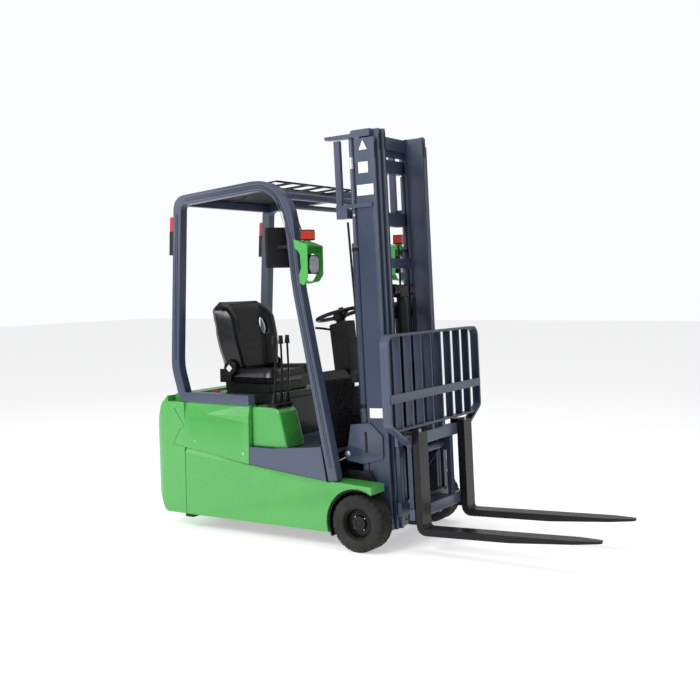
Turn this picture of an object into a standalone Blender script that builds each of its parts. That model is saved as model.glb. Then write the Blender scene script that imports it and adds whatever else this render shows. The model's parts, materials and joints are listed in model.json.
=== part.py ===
"""A three-wheeled electric counterbalance forklift truck, as an assembly of its sub-parts.

Metres, +X forward (the way the forks point), +Y left, +Z up. Shapes are laid out from the
front axle: x = 0 at the front wheels' centre, z = 0 on the ground. The empty "truck" then
puts the middle of the whole machine over the origin. Mast parts are laid out upright and
hang on the empty "mast_tilt", which leans back by REST_TILT.
"""

import math

import bmesh
import bpy
from mathutils import Matrix, Vector

# ---------------------------------------------------------------- driving dimensions
HALF_WIDTH = 0.50
WHEELBASE = 1.20
REAR_OVERHANG = 0.33
GROUND_CLEARANCE = 0.10
REST_TILT = math.radians(2.2)
TOUCH = 0.0003          # gap between faces that rest on each other
RUN = 0.006             # gap between pieces that move past each other
ROLLER_PLAY = 0.0005    # between a mast roller and its channel

# Wheels
SIDES = 32              # facets round a tyre
FRONT_RADIUS = 0.165
FRONT_TYRE_WIDTH = 0.14
FRONT_BORE = 0.092      # inside radius of the front tyre
REAR_RADIUS = 0.15
REAR_TYRE_WIDTH = 0.085
REAR_BORE = 0.085
TWIN_GAP = 0.08         # between the two rear tyres
FLAT = math.cos(math.pi / SIDES)
FRONT_AXLE_Z = FRONT_RADIUS * FLAT
REAR_AXLE_Z = REAR_RADIUS * FLAT
STUB_RADIUS = 0.021
BORE_PLAY = 0.0007      # between a shaft and the bore that turns on it

# Body
CREASE_REAR_Z = 0.517
CREASE_FRONT_X = -0.198
CREASE_FRONT_Z = 0.387
CREASE_MID_X = -0.785
CREASE_MID_Z = 0.446
WEIGHT_FRONT_X = -1.245     # where the counterweight meets the side panels
WEIGHT_TOP = 0.85
WEIGHT_CORNER = 0.13
PANEL_INNER_Y = 0.4403
ARCH_RADIUS = 0.20
LINER_RADIUS = 0.197
FENDER_TOP = 0.392
FENDER_FRONT_X = 0.10
COVER_FRONT_X = -0.755
COVER_TOP = 0.80
COVER_OUTER_Y = 0.487
COVER_INNER_Y = 0.405
FLOOR_TOP = 0.55
CONSOLE_TOP = 0.79
COWL_FOOT_X = -0.268        # rear face of the cowl at the floor
COWL_KNEE = (-0.300, 0.930)
SHELF_TOP = 0.38
SILL_INNER_Y = 0.40
PLATE_Y = 0.336             # inner face of the front side plates of the chassis
HOOD_TOP = 0.84
HOOD_HALF = 0.42
HINGE_X = -1.240
HINGE_Z = 0.850

# Overhead guard
GUARD_OUTER_Y = 0.4875
GUARD_BAR = 0.06
GUARD_REAR_X = -1.262
GUARD_TOP_REAR = 2.04
GUARD_TOP_FRONT = 2.105
GUARD_FRONT_X = -0.452
PILLAR_KNEE = (-1.317, 1.02)
PILLAR_BEND = (-0.385, 1.51)    # of the A-pillar
GUARD_BEND = 0.24

# Seat and controls
SEAT_HALF = 0.235
SEAT_PLAY = 0.0006
SEAT_REAR_X = -1.16
SEAT_FRONT_X = -0.755
SEAT_BACK_FOOT = 0.945
SEAT_BACK_X = SEAT_REAR_X - 0.02
SEAT_BACK_HEEL = 0.03
SEAT_LEAN = math.radians(10.5)
CUSHION_REAR_X = SEAT_REAR_X + 0.117
STEER_CENTRE = Vector((-0.408, 0, 1.328))
STEER_RADIUS = 0.150
STEER_LEAN = math.radians(17)
STEER_HUB = 0.034           # depth of the hub behind the rim's plane

# Mast
PIVOT = Vector((-0.03, 0, 0.165))
RAIL_TOP = 2.383
RAIL_BOTTOM = 0.10
RAIL_DEPTH = 0.128
RAIL_WIDTH = 0.026
RAIL_PITCH = 0.036
STAGE_STEP = 0.012
MAST_OUTER_Y = 0.320
WEB = 0.009
FLANGE = 0.014
GUIDE_REAR_X = -0.134        # back of the hose guide beside the mast's top
LIFT_CYLINDER_X = -0.032
LIFT_CYLINDER_Y = 0.293
LIFT_FOOT = 0.240
LIFT_BARREL_RADIUS = 0.0255
LIFT_BARREL_TOP = 1.74
LIFT_ROD_RADIUS = 0.016
FREE_CYLINDER_X = 0.078
FREE_BARREL_RADIUS = 0.042
FREE_BARREL_TOP = 1.40
FREE_ROD_RADIUS = 0.026
CROSSHEAD_Z = 1.47
SHEAVE_RADIUS = 0.035
TILT_EYE = Vector((-0.140, 0.295, 0.533))       # on the mast, laid out upright
TILT_ANCHOR = Vector((-0.56, 0.295, 0.33))      # on the chassis
TILT_BARREL_RADIUS = 0.028
TILT_BARREL_LENGTH = 0.27
TILT_ROD_RADIUS = 0.013
TILT_PIN_RADIUS = 0.012

# Carriage, side shifter and forks
CARRIAGE_BOTTOM = 0.150
CARRIAGE_TOP = 0.665
CARRIAGE_FACE_X = 0.182
FORK_WIDTH = 0.105
FORK_THICKNESS = 0.040
FORK_LENGTH = 1.01
FORK_SPACING = 0.287        # from the middle to each fork's middle
SHANK_X = 0.298             # rear face of the shank
SHANK_TOP = 0.668
FORK_BOTTOM = 0.088
BAR_FRONT_X = 0.292         # front face of the bars that the forks hang on
BAR_THICKNESS = 0.035
BAR_HALF = 0.345            # half the length of those bars
HOOK_PLAY = 0.0006
REST_HALF = 0.571
REST_TOP = 1.225
REST_PITCH = 0.1229
UPPER_BAR_TOP = 0.655

LEFT, RIGHT = 1, -1
SIDE_NAMES = ((LEFT, "left"), (RIGHT, "right"))


# ---------------------------------------------------------------- scene and materials
def clear_scene():
    for obj in list(bpy.data.objects):
        bpy.data.objects.remove(obj)


def collection(name):
    made = bpy.data.collections.new(name)
    bpy.context.scene.collection.children.link(made)
    return made


def material(name, colour, roughness, metallic=0.0):
    made = bpy.data.materials.new(name)
    made.use_nodes = True
    shader = made.node_tree.nodes["Principled BSDF"]
    shader.inputs["Base Color"].default_value = (*colour, 1.0)
    shader.inputs["Roughness"].default_value = roughness
    shader.inputs["Metallic"].default_value = metallic
    made.diffuse_color = (*colour, 1.0)
    return made


clear_scene()
PARTS = collection("forklift")
GREEN = material("green_paint", (0.10, 0.49, 0.11), 0.30)
SLATE = material("slate_paint", (0.055, 0.075, 0.115), 0.38)
BLACK = material("black_paint", (0.012, 0.012, 0.014), 0.45)
RUBBER = material("rubber", (0.045, 0.042, 0.036), 0.85)
VINYL = material("seat_vinyl", (0.014, 0.014, 0.016), 0.55)
PLASTIC = material("black_plastic", (0.02, 0.02, 0.022), 0.50)
CHROME = material("chromed_rod", (0.70, 0.70, 0.72), 0.12, 1.0)
LAMP = material("lamp_body", (0.30, 0.04, 0.02), 0.25)
CASE = material("battery_case", (0.08, 0.08, 0.09), 0.60)


# ---------------------------------------------------------------- modelling tools
def new_object(name, mesh):
    obj = bpy.data.objects.new(name, mesh)
    PARTS.objects.link(obj)
    return obj


def from_bmesh(bm, name="solid"):
    bmesh.ops.recalc_face_normals(bm, faces=bm.faces)
    mesh = bpy.data.meshes.new(name)
    bm.to_mesh(mesh)
    bm.free()
    return new_object(name, mesh)


def baked(obj):
    """The object with its modifiers applied."""
    graph = bpy.context.evaluated_depsgraph_get()
    mesh = bpy.data.meshes.new_from_object(obj.evaluated_get(graph))
    name = obj.name
    bpy.data.objects.remove(obj)
    return new_object(name, mesh)


def bevelled(obj, width, segments=2):
    bevel = obj.modifiers.new("edges", "BEVEL")
    bevel.width = width
    bevel.segments = segments if width > 0.009 else 1
    bevel.limit_method = "ANGLE"
    bevel.angle_limit = math.radians(40)
    return baked(obj)


def box(x, y, z, bevel=0.0):
    """A block between two values on each axis."""
    bm = bmesh.new()
    bmesh.ops.create_cube(bm, size=1.0)
    size = [high - low for low, high in (x, y, z)]
    middle = [(high + low) / 2 for low, high in (x, y, z)]
    bmesh.ops.transform(bm, verts=bm.verts, matrix=Matrix.Translation(middle) @ Matrix.Diagonal((*size, 1)))
    obj = from_bmesh(bm)
    return bevelled(obj, bevel) if bevel else obj


def rod(start, end, radius, sides=16, radius_end=None):
    """A round bar, or a cone when radius_end is given."""
    start, end = Vector(start), Vector(end)
    bm = bmesh.new()
    bmesh.ops.create_cone(
        bm, cap_ends=True, segments=sides, radius1=radius,
        radius2=radius if radius_end is None else radius_end, depth=(end - start).length,
    )
    turn = (end - start).to_track_quat("Z", "Y").to_matrix().to_4x4()
    bmesh.ops.transform(bm, verts=bm.verts, matrix=Matrix.Translation((start + end) / 2) @ turn)
    return from_bmesh(bm)


def rounded(corners, step=math.radians(24)):
    """The outline through corners (u, v) or (u, v, radius), with an arc at each radius."""
    points = []
    count = len(corners)
    for i, corner in enumerate(corners):
        here = Vector(corner[:2])
        radius = corner[2] if len(corner) > 2 else 0.0
        if radius == 0.0:
            points.append(here)
            continue
        back = (Vector(corners[i - 1][:2]) - here).normalized()
        ahead = (Vector(corners[(i + 1) % count][:2]) - here).normalized()
        half = back.angle(ahead) / 2
        centre = here + (back + ahead).normalized() * radius / math.sin(half)
        first = here + back * radius / math.tan(half) - centre
        sweep = first.angle_signed(here + ahead * radius / math.tan(half) - centre)
        pieces = max(1, round(abs(sweep) / (step if radius < 0.1 else step / 2)))
        for k in range(pieces + 1):
            points.append(centre + Matrix.Rotation(-sweep * k / pieces, 2) @ first)
    return points


def arc(centre, radius, start, end, step=math.radians(12)):
    """Points of an arc, angles in degrees."""
    start, end = math.radians(start), math.radians(end)
    pieces = max(2, round(abs(end - start) / step))
    angles = [start + (end - start) * k / pieces for k in range(pieces + 1)]
    return [(centre[0] + radius * math.cos(a), centre[1] + radius * math.sin(a)) for a in angles]


def strip(path, width):
    """The outline of a bar of this width along an open path."""
    path = [Vector(point) for point in path]
    sides = ([], [])
    for i, here in enumerate(path):
        before = (here - path[i - 1]).normalized() if i else None
        after = (path[i + 1] - here).normalized() if i + 1 < len(path) else None
        along = ((before or after) + (after or before)).normalized()
        across = Vector((-along.y, along.x))
        reach = width / 2 / max(0.5, along.dot(before or after))
        sides[0].append(here + across * reach)
        sides[1].append(here - across * reach)
    return sides[0] + sides[1][::-1]


PLANES = {
    "xy": Matrix(((1, 0, 0), (0, 1, 0), (0, 0, 1))),
    "xz": Matrix(((1, 0, 0), (0, 0, -1), (0, 1, 0))),
    "yz": Matrix(((0, 0, 1), (1, 0, 0), (0, 1, 0))),
}


def plate(outline, plane, low, high, bevel=0.0):
    """A flat outline in one plane, as thick as low to high on the third axis."""
    curve = bpy.data.curves.new("outline", "CURVE")
    curve.dimensions = "2D"
    curve.fill_mode = "BOTH"
    curve.extrude = (high - low) / 2
    spline = curve.splines.new("POLY")
    spline.points.add(len(outline) - 1)
    for point, (u, v) in zip(spline.points, outline):
        point.co = (u, v, 0, 1)
    spline.use_cyclic_u = True
    obj = baked(new_object("plate", curve))
    normal = PLANES[plane] @ Vector((0, 0, 1))
    obj.data.transform(Matrix.Translation(normal.normalized() * (low + high) / 2
                                          * (-1 if plane == "xz" else 1)) @ PLANES[plane].to_4x4())
    return bevelled(welded(obj), bevel) if bevel else welded(obj)


def welded(obj):
    bm = bmesh.new()
    bm.from_mesh(obj.data)
    bmesh.ops.remove_doubles(bm, verts=bm.verts, dist=1e-5)
    bmesh.ops.recalc_face_normals(bm, faces=bm.faces)
    bm.to_mesh(obj.data)
    bm.free()
    return obj


def turned(profile, centre, axis="y", steps=SIDES):
    """A profile of (radius, height) turned round an axis through centre."""
    bm = bmesh.new()
    verts = [bm.verts.new((radius, 0, height)) for radius, height in profile]
    for i in range(len(verts)):
        bm.edges.new((verts[i - 1], verts[i]))
    bmesh.ops.transform(bm, verts=bm.verts, matrix=Matrix.Rotation(math.pi / steps, 4, "Z"))
    mesh = bpy.data.meshes.new("turned")
    bm.to_mesh(mesh)
    bm.free()
    obj = new_object("turned", mesh)
    screw = obj.modifiers.new("turn", "SCREW")
    screw.steps = screw.render_steps = steps
    screw.use_merge_vertices = True
    screw.merge_threshold = 0.0001
    obj = welded(baked(obj))
    turn = Matrix.Rotation(math.radians(-90), 4, "X") if axis == "y" else Matrix.Identity(4)
    obj.data.transform(Matrix.Translation(centre) @ turn)
    return welded(obj)


def tube(points, radius, sides=3):
    """A round bar along a list of points."""
    curve = bpy.data.curves.new("tube", "CURVE")
    curve.dimensions = "3D"
    curve.bevel_depth = radius
    curve.bevel_resolution = sides
    curve.use_fill_caps = True
    spline = curve.splines.new("POLY")
    spline.points.add(len(points) - 1)
    for point, place in zip(spline.points, points):
        point.co = (*place, 1)
    return welded(baked(new_object("tube", curve)))


def boolean(target, tools, operation):
    for tool in tools:
        step = target.modifiers.new(operation.lower(), "BOOLEAN")
        step.operation = operation
        step.object = tool
    result = baked(target)
    for tool in tools:
        bpy.data.objects.remove(tool)
    return result


def fuse(first, *others):
    return boolean(first, others, "UNION")


def cut(target, *tools):
    return boolean(target, tools, "DIFFERENCE")


def common(target, tool):
    return boolean(target, [tool], "INTERSECT")


def mirrored(obj, side):
    """The piece as laid out for the left side, or its mirror image for the right."""
    if side == RIGHT:
        obj.data.transform(Matrix.Diagonal((1, -1, 1, 1)))
        obj.data.flip_normals()
    return obj


# ---------------------------------------------------------------- frames
class Frame:
    """An empty that carries sub-parts. origin is its place in the layout."""

    def __init__(self, name, origin, parent=None):
        self.origin = Vector(origin)
        self.empty = bpy.data.objects.new(name, None)
        PARTS.objects.link(self.empty)
        if parent:
            self.empty.parent = parent.empty
            self.empty.location = self.origin - parent.origin

    def add(self, name, obj, finish):
        """Hangs a laid-out solid on this frame as the sub-part name."""
        obj.data.transform(Matrix.Translation(-self.origin))
        obj.name = obj.data.name = name
        obj.data.materials.clear()
        obj.data.materials.append(finish)
        obj.data.shade_smooth()
        obj.data.set_sharp_from_angle(angle=math.radians(35))
        obj.parent = self.empty
        return obj


def after_tilt(point):
    """Where a point of the upright mast is once the mast leans back."""
    turn = Matrix.Rotation(-REST_TILT, 3, "Y")
    return PIVOT + turn @ (Vector(point) - PIVOT)


REAR_X = -WHEELBASE - REAR_OVERHANG

truck = Frame("truck", (0, 0, 0))
hood_hinge = Frame("hood_hinge", (HINGE_X, 0, HINGE_Z), truck)
seat_slide = Frame("seat_slide", (SEAT_REAR_X, 0, 0.88), hood_hinge)
steer_axis = Frame("steer_axis", (-WHEELBASE, 0, REAR_AXLE_Z), truck)
rear_axle = Frame("rear_axle", (-WHEELBASE, 0, REAR_AXLE_Z), steer_axis)
steering = Frame("steering_wheel_axis", STEER_CENTRE, truck)
mast_tilt = Frame("mast_tilt", PIVOT, truck)
mast_tilt.empty.rotation_euler = (0, -REST_TILT, 0)
middle_lift = Frame("middle_lift", (0, 0, RAIL_BOTTOM), mast_tilt)
inner_lift = Frame("inner_lift", (0, 0, RAIL_BOTTOM), middle_lift)
free_lift = Frame("free_lift", (FREE_CYLINDER_X, 0, RAIL_BOTTOM), inner_lift)
carriage_lift = Frame("carriage_lift", (0, 0, CARRIAGE_BOTTOM), inner_lift)
side_shift = Frame("side_shift", (0, 0, CARRIAGE_BOTTOM), carriage_lift)


# ---------------------------------------------------------------- body
def crease(x):
    """Height of the body's side crease, which falls towards the front wheel."""
    if x < CREASE_MID_X:
        share = (x - WEIGHT_FRONT_X) / (CREASE_MID_X - WEIGHT_FRONT_X)
        return CREASE_REAR_Z + (CREASE_MID_Z - CREASE_REAR_Z) * share
    share = (x - CREASE_MID_X) / (CREASE_FRONT_X - CREASE_MID_X)
    return CREASE_MID_Z + (CREASE_FRONT_Z - CREASE_MID_Z) * share


def counterweight():
    front, rear, low = WEIGHT_FRONT_X, REAR_X, GROUND_CLEARANCE
    plan = plate(rounded([
        (front, -HALF_WIDTH), (rear, -HALF_WIDTH, WEIGHT_CORNER), (rear, HALF_WIDTH, WEIGHT_CORNER),
        (front, HALF_WIDTH),
    ]), "xy", low, WEIGHT_TOP)
    side = plate(rounded([
        (front + 0.1, low), (rear + 0.115, low, 0.04), (rear + 0.040, low + 0.126, 0.08),
        (rear + 0.004, low + 0.223, 0.05), (rear + 0.024, low + 0.335, 0.03), (rear, low + 0.424, 0.05),
        (rear + 0.045, low + 0.566, 0.12), (rear + 0.095, low + 0.683, 0.08),
        (rear + 0.17, WEIGHT_TOP, 0.05), (front + 0.1, WEIGHT_TOP),
    ]), "xz", -0.6, 0.6)
    body = common(plan, side)
    swing = math.hypot(REAR_RADIUS, TWIN_GAP / 2 + REAR_TYRE_WIDTH) + 0.02
    well = rod((-WHEELBASE, 0, 0), (-WHEELBASE, 0, SHELF_TOP), swing, sides=36)
    seats = [box((GUARD_REAR_X - 0.115, front + 0.1), sorted((side * (HOOD_HALF + 0.004), side * 0.6)),
                 (COVER_TOP, WEIGHT_TOP + 0.1)) for side in (LEFT, RIGHT)]
    return cut(body, well, *seats)


def side_panel():
    """The lower green panel of the left side, with the wheel arch and the fender over it."""
    rear = WEIGHT_FRONT_X + TOUCH
    drop = FRONT_AXLE_Z - GROUND_CLEARANCE
    sill = math.degrees(math.asin(drop / ARCH_RADIUS))
    front_angle = math.degrees(math.acos(FENDER_FRONT_X / ARCH_RADIUS))
    arch = arc((0, FRONT_AXLE_Z), ARCH_RADIUS, 180 + sill, front_angle, math.radians(9))
    outline = [(rear, GROUND_CLEARANCE)] + arch + [
        (FENDER_FRONT_X, FENDER_TOP - 0.01), (-0.10, FENDER_TOP), (CREASE_FRONT_X, crease(CREASE_FRONT_X)),
        (CREASE_MID_X, crease(CREASE_MID_X)), (rear, crease(rear)),
    ]
    panel = plate(outline, "xz", PANEL_INNER_Y, HALF_WIDTH)
    over = arc((0, FRONT_AXLE_Z), ARCH_RADIUS, 145, front_angle, math.radians(9))
    fender = plate(over + [(FENDER_FRONT_X, FENDER_TOP - 0.01), (over[0][0], FENDER_TOP)], "xz",
                   PLATE_Y + 0.016, HALF_WIDTH - 0.001)
    ledge = plate([(COVER_OUTER_Y, 0.0), (HALF_WIDTH + 0.01, -0.045), (HALF_WIDTH + 0.01, 0.01),
                   (COVER_OUTER_Y, 0.01)],
                  "yz", rear - 0.01, CREASE_FRONT_X)
    for vert in ledge.data.vertices:
        vert.co.z += crease(min(max(vert.co.x, rear), CREASE_FRONT_X))
    return cut(fuse(panel, fender), ledge)


def side_cover():
    """The upper green cover beside the battery, on the left."""
    rear, front = WEIGHT_FRONT_X + TOUCH, COVER_FRONT_X
    outline = [(rear, crease(rear) + TOUCH), (CREASE_MID_X, crease(CREASE_MID_X) + TOUCH),
               (front, crease(front) + TOUCH), (front, COVER_TOP), (rear, COVER_TOP)]
    body = plate(outline, "xz", COVER_INNER_Y, COVER_OUTER_Y, bevel=0.006)
    slope = plate([(COVER_OUTER_Y + 0.01, COVER_TOP - 0.105), (COVER_OUTER_Y + 0.01, COVER_TOP + 0.01),
                   (COVER_OUTER_Y - 0.021, COVER_TOP + 0.01)], "yz", rear - 0.01, front + 0.01)
    return cut(body, slope)


def chassis():
    well_front = -WHEELBASE + math.hypot(REAR_RADIUS, TWIN_GAP / 2 + REAR_TYRE_WIDTH) + 0.012
    belly = GROUND_CLEARANCE + 0.015
    rear = WEIGHT_FRONT_X + TOUCH
    pieces = [box((well_front, -0.30), (-0.43, 0.43), (belly, belly + 0.012))]
    pieces.append(box((rear, COVER_FRONT_X), (-0.43, 0.43), (SHELF_TOP - 0.014, SHELF_TOP)))
    pieces.append(box((well_front, well_front + 0.012), (-0.41, 0.41), (belly + 0.001, SHELF_TOP - 0.001)))
    pieces.append(box((COVER_FRONT_X - 0.016, COVER_FRONT_X - 0.004), (-0.38, 0.38),
                      (belly + 0.001, COVER_TOP - 0.003 - TOUCH)))
    pieces.append(box((-0.312, -0.2998), (-0.25, 0.25), (belly + 0.001, FLOOR_TOP - 0.0153)))
    for side in (LEFT, RIGHT):
        pieces.append(box((rear, -0.30), sorted((side * SILL_INNER_Y, side * 0.44)),
                          (belly, SHELF_TOP - 0.002)))
        pieces.append(box((-0.345, -0.301), sorted((side * PLATE_Y, side * 0.42)),
                          (belly + 0.002, SHELF_TOP - 0.003)))
        flank = [(-0.34, belly), (0.06, belly), (0.06, 0.36), (0.0, 0.44), (-0.20, 0.44), (-0.34, 0.36)]
        pieces.append(mirrored(plate(flank, "xz", PLATE_Y, PLATE_Y + 0.012), side))
        liner = arc((0, FRONT_AXLE_Z), LINER_RADIUS, 207, 62, math.radians(9))
        inner = arc((0, FRONT_AXLE_Z), LINER_RADIUS - 0.010, 62, 207, math.radians(9))
        pieces.append(mirrored(plate(liner + inner, "xz", PLATE_Y + 0.004, HALF_WIDTH - 0.012), side))
        anchor = (TILT_ANCHOR.x, side * (TILT_ANCHOR.y - 0.022), TILT_ANCHOR.z)
        pieces.append(rod(anchor, (anchor[0], side * 0.41, anchor[2]), TILT_PIN_RADIUS))
        foot = box((rear - 0.02, rear + 0.045), sorted((side * 0.42, side * 0.492)),
                   (GROUND_CLEARANCE - 0.022, GROUND_CLEARANCE - TOUCH), bevel=0.004)
        pieces.append(fuse(foot, box((rear + 0.003, rear + 0.04), sorted((side * 0.421, side * 0.4397)),
                                     (GROUND_CLEARANCE - 0.010, GROUND_CLEARANCE + 0.04))))
    pieces.append(rod((-WHEELBASE, 0, SHELF_TOP - 0.03), (-WHEELBASE, 0, SHELF_TOP - 0.003), 0.075, 28))
    frame = fuse(*pieces)
    stub = rod((0, -0.4, FRONT_AXLE_Z), (0, 0.4, FRONT_AXLE_Z), STUB_RADIUS + 0.002, 24)
    return cut(frame, stub, rod((-WHEELBASE, 0, 0.2), (-WHEELBASE, 0, SHELF_TOP - 0.006),
                                0.030 + BORE_PLAY, 24))


def front_axle():
    beam = rod((-0.15, -PLATE_Y + 0.004, FRONT_AXLE_Z), (-0.15, PLATE_Y - 0.004, FRONT_AXLE_Z), 0.05, 24)
    pieces = []
    for side in (LEFT, RIGHT):
        face = PLATE_Y - TOUCH
        outline = rounded([(-0.20, 0.115, 0.02), (0.04, 0.115, 0.03), (0.04, 0.215, 0.03),
                           (-0.20, 0.225, 0.02)])
        pieces.append(mirrored(plate(outline, "xz", face - 0.010, face), side))
        pieces.append(rod((0, side * (face - 0.005), FRONT_AXLE_Z),
                          (0, side * (HALF_WIDTH - 0.055), FRONT_AXLE_Z), STUB_RADIUS, 24))
        lug = rounded([(-0.16, 0.125), (PIVOT.x, 0.135, 0.02), (PIVOT.x + 0.022, PIVOT.z, 0.02),
                       (PIVOT.x, 0.195, 0.02), (-0.16, 0.205)])
        pieces.append(mirrored(plate(lug, "xz", 0.236, 0.250), side))
        pieces.append(rod((PIVOT.x, side * 0.237, PIVOT.z), (PIVOT.x, side * 0.285, PIVOT.z), 0.014))
    return fuse(beam, *pieces)


def floor_plate():
    deck = box((COVER_FRONT_X + 0.004, -0.240), (-0.4849, 0.4849), (FLOOR_TOP - 0.015, FLOOR_TOP))
    pieces = [box((-0.25, -0.215), (-0.42, 0.42), (FLOOR_TOP - 0.0148, FLOOR_TOP - 0.0002))]
    for side in (LEFT, RIGHT):
        rear, front = COVER_FRONT_X + 0.004, -0.205
        outline = [(rear, crease(rear) + TOUCH), (front, crease(front) + TOUCH), (front - 0.035, 0.584),
                   (rear, 0.535)]
        pieces.append(mirrored(plate(outline, "xz", 0.4545, COVER_OUTER_Y - 0.002), side))
    return fuse(deck, *pieces)


def front_cowl():
    outline = rounded([
        (COWL_FOOT_X, FLOOR_TOP + TOUCH), (-0.241, FLOOR_TOP + TOUCH), (-0.262, 0.95, 0.03), (-0.315,
                                                                                              1.004, 0.02),
        (-0.415, 0.985, 0.02), (-0.425, 0.935, 0.01), (*COWL_KNEE, 0.02),
    ])
    return plate(outline, "xz", -0.405, 0.405)


def steering_column():
    lean = Vector((-math.sin(STEER_LEAN), 0, math.cos(STEER_LEAN)))
    top = STEER_CENTRE - lean * (STEER_HUB + BORE_PLAY)
    shell = STEER_CENTRE - lean * 0.055
    housing = [(shell.x - 0.052, shell.z - 0.012), (-0.409, 0.985), (-0.385, 0.905), (-0.300, 0.905),
               (-0.300, 0.985), (shell.x + 0.060, shell.z + 0.018)]
    post = fuse(tube([(-0.335, 0, FLOOR_TOP + TOUCH), (-0.335, 0, 0.93), shell - lean * 0.03, top], 0.03,
                     2),
                plate(rounded([(*point, 0.012) for point in housing]), "xz", -0.058, 0.058, bevel=0.010),
                tube([(-0.430, -0.03, 1.232), (-0.470, -0.10, 1.245), (-0.482, -0.15, 1.25)], 0.007, 2))
    cut_out = box((-0.5, -0.2), (-0.1, 0.1), (0.89, 1.03))
    return post, cut_out


def console():
    outline = rounded([(COVER_FRONT_X + 0.004, FLOOR_TOP + TOUCH), (-0.495, FLOOR_TOP + TOUCH),
                       (-0.548, 0.765, 0.03), (-0.585, CONSOLE_TOP, 0.02), (COVER_FRONT_X + 0.004,
                                                                            CONSOLE_TOP)])
    return plate(outline, "xz", -0.4542, -0.27, bevel=0.01)


def levers():
    base = box((-0.655, -0.567), (-0.452, -0.272), (0.80, 0.812), bevel=0.004)
    boots = []
    for y in (-0.428, -0.362, -0.296):
        boots.append(rod((-0.600, y, 0.811), (-0.597, y, 0.875), 0.022, 16, 0.009))
        boots.append(tube([(-0.597, y, 0.87), (-0.587, y, 1.0), (-0.593, y, 1.17)], 0.0065, 2))
        boots.append(rod((-0.593, y, 1.165), (-0.593, y, 1.215), 0.016, 16, 0.012))
    foot = box((-0.647, -0.590), (-0.430, -0.298), (CONSOLE_TOP + TOUCH, 0.801))
    return fuse(base, foot, *boots)


def pedals():
    """Brake and drive pedals on a bar that is bolted to the cowl."""
    bar_top = 0.63
    lean = (COWL_KNEE[0] - COWL_FOOT_X) / (COWL_KNEE[1] - FLOOR_TOP)
    face = COWL_FOOT_X + lean * (bar_top - FLOOR_TOP) - TOUCH
    bar = box((face - 0.012, face), (-0.36, -0.08), (bar_top - 0.03, bar_top))
    pads = []
    for y in (-0.30, -0.18):
        pads.append(box((face - 0.058, face - 0.005), (y - 0.008, y + 0.008), (0.605, 0.625)))
        pads.append(plate([(face - 0.082, 0.58), (face - 0.072, 0.575), (face - 0.027, 0.66),
                           (face - 0.037, 0.665)],
                          "xz", y - 0.03, y + 0.03))
    return fuse(bar, *pads)


truck.add("chassis_frame", chassis(), BLACK)
truck.add("counterweight", counterweight(), GREEN)
for side, word in SIDE_NAMES:
    truck.add("side_panel_" + word, mirrored(side_panel(), side), GREEN)
    truck.add("side_cover_" + word, mirrored(side_cover(), side), GREEN)
truck.add("front_axle", front_axle(), BLACK)
truck.add("floor_plate", floor_plate(), SLATE)
truck.add("battery", box((WEIGHT_FRONT_X + 0.017, COVER_FRONT_X - 0.022), (-0.36, 0.36),
                         (SHELF_TOP + TOUCH, 0.77), bevel=0.004), CASE)
truck.add("control_console", console(), GREEN)
truck.add("control_levers", levers(), BLACK)
cowl = front_cowl()
column, slot = steering_column()
truck.add("front_cowl", cut(cowl, slot), BLACK)
truck.add("steering_column", column, BLACK)
truck.add("foot_pedals", pedals(), BLACK)


# ---------------------------------------------------------------- overhead guard
def guard_path():
    """The middle line of one side frame in the XZ plane, from the hood round to the fender."""
    low = COVER_TOP + TOUCH + GUARD_BAR / 2
    corners = [
        (COVER_FRONT_X + 0.005, low), (GUARD_REAR_X, low), (*PILLAR_KNEE, 0.3),
        (GUARD_REAR_X, GUARD_TOP_REAR, 0.055), (GUARD_FRONT_X, GUARD_TOP_FRONT + 0.01, GUARD_BEND),
        (*PILLAR_BEND, 0.9), (-0.158, FENDER_TOP + TOUCH),
    ]
    return rounded(corners)


def overhead_guard():
    inner, outer = GUARD_OUTER_Y - GUARD_BAR, GUARD_OUTER_Y
    outline = strip(guard_path(), GUARD_BAR)
    pieces = [mirrored(plate(outline, "xz", inner, outer, bevel=0.008), side) for side in (LEFT, RIGHT)]
    reach = inner + 0.01
    pieces.append(box((GUARD_REAR_X - 0.022, GUARD_REAR_X + 0.022), (-reach, reach),
                      (GUARD_TOP_REAR - 0.028, GUARD_TOP_REAR + 0.018)))
    pieces.append(box((-0.500, -0.450), (-reach, reach), (2.012, 2.052), bevel=0.008))
    pieces.append(rod((-0.500, -reach, 1.975), (-0.500, reach, 1.975), 0.015, 12))
    guard = fuse(*pieces)
    feet = box((-0.3, 0.1), (-0.6, 0.6), (0.2, FENDER_TOP + TOUCH))
    return cut(guard, feet)


def roof_grille():
    """The roof plate between the side frames, with open slots at the front."""
    rise = (GUARD_TOP_FRONT - GUARD_TOP_REAR) / (GUARD_FRONT_X - GUARD_REAR_X)
    rear, front, half = GUARD_REAR_X - 0.022, -0.545, GUARD_OUTER_Y - GUARD_BAR - TOUCH
    low = GUARD_TOP_REAR + 0.018 + TOUCH
    outline = [(x, low + rise * (x - rear) + lift) for x, lift in
               ((rear, 0.0), (front, 0.0), (front, 0.007), (rear, 0.007))]
    roof = plate(outline, "xz", -half, half)
    slots = []
    for k in range(5):
        middle = (k - 2) * 0.175
        slots.append(box((-0.72, front - 0.022), (middle - 0.065, middle + 0.065), (2.0, 2.2)))
    return cut(roof, *slots)


def pillar_face(z, way):
    """Where a piece that stands off the A-pillar ends: in front of it with way 1, behind it with way -1."""
    slope = (GUARD_FRONT_X - PILLAR_BEND[0]) / (GUARD_TOP_FRONT + 0.01 - PILLAR_BEND[1])
    middle = PILLAR_BEND[0] + slope * (z - PILLAR_BEND[1])
    return middle + way * (GUARD_BAR / 2 * math.hypot(1, slope) + TOUCH)


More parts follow.
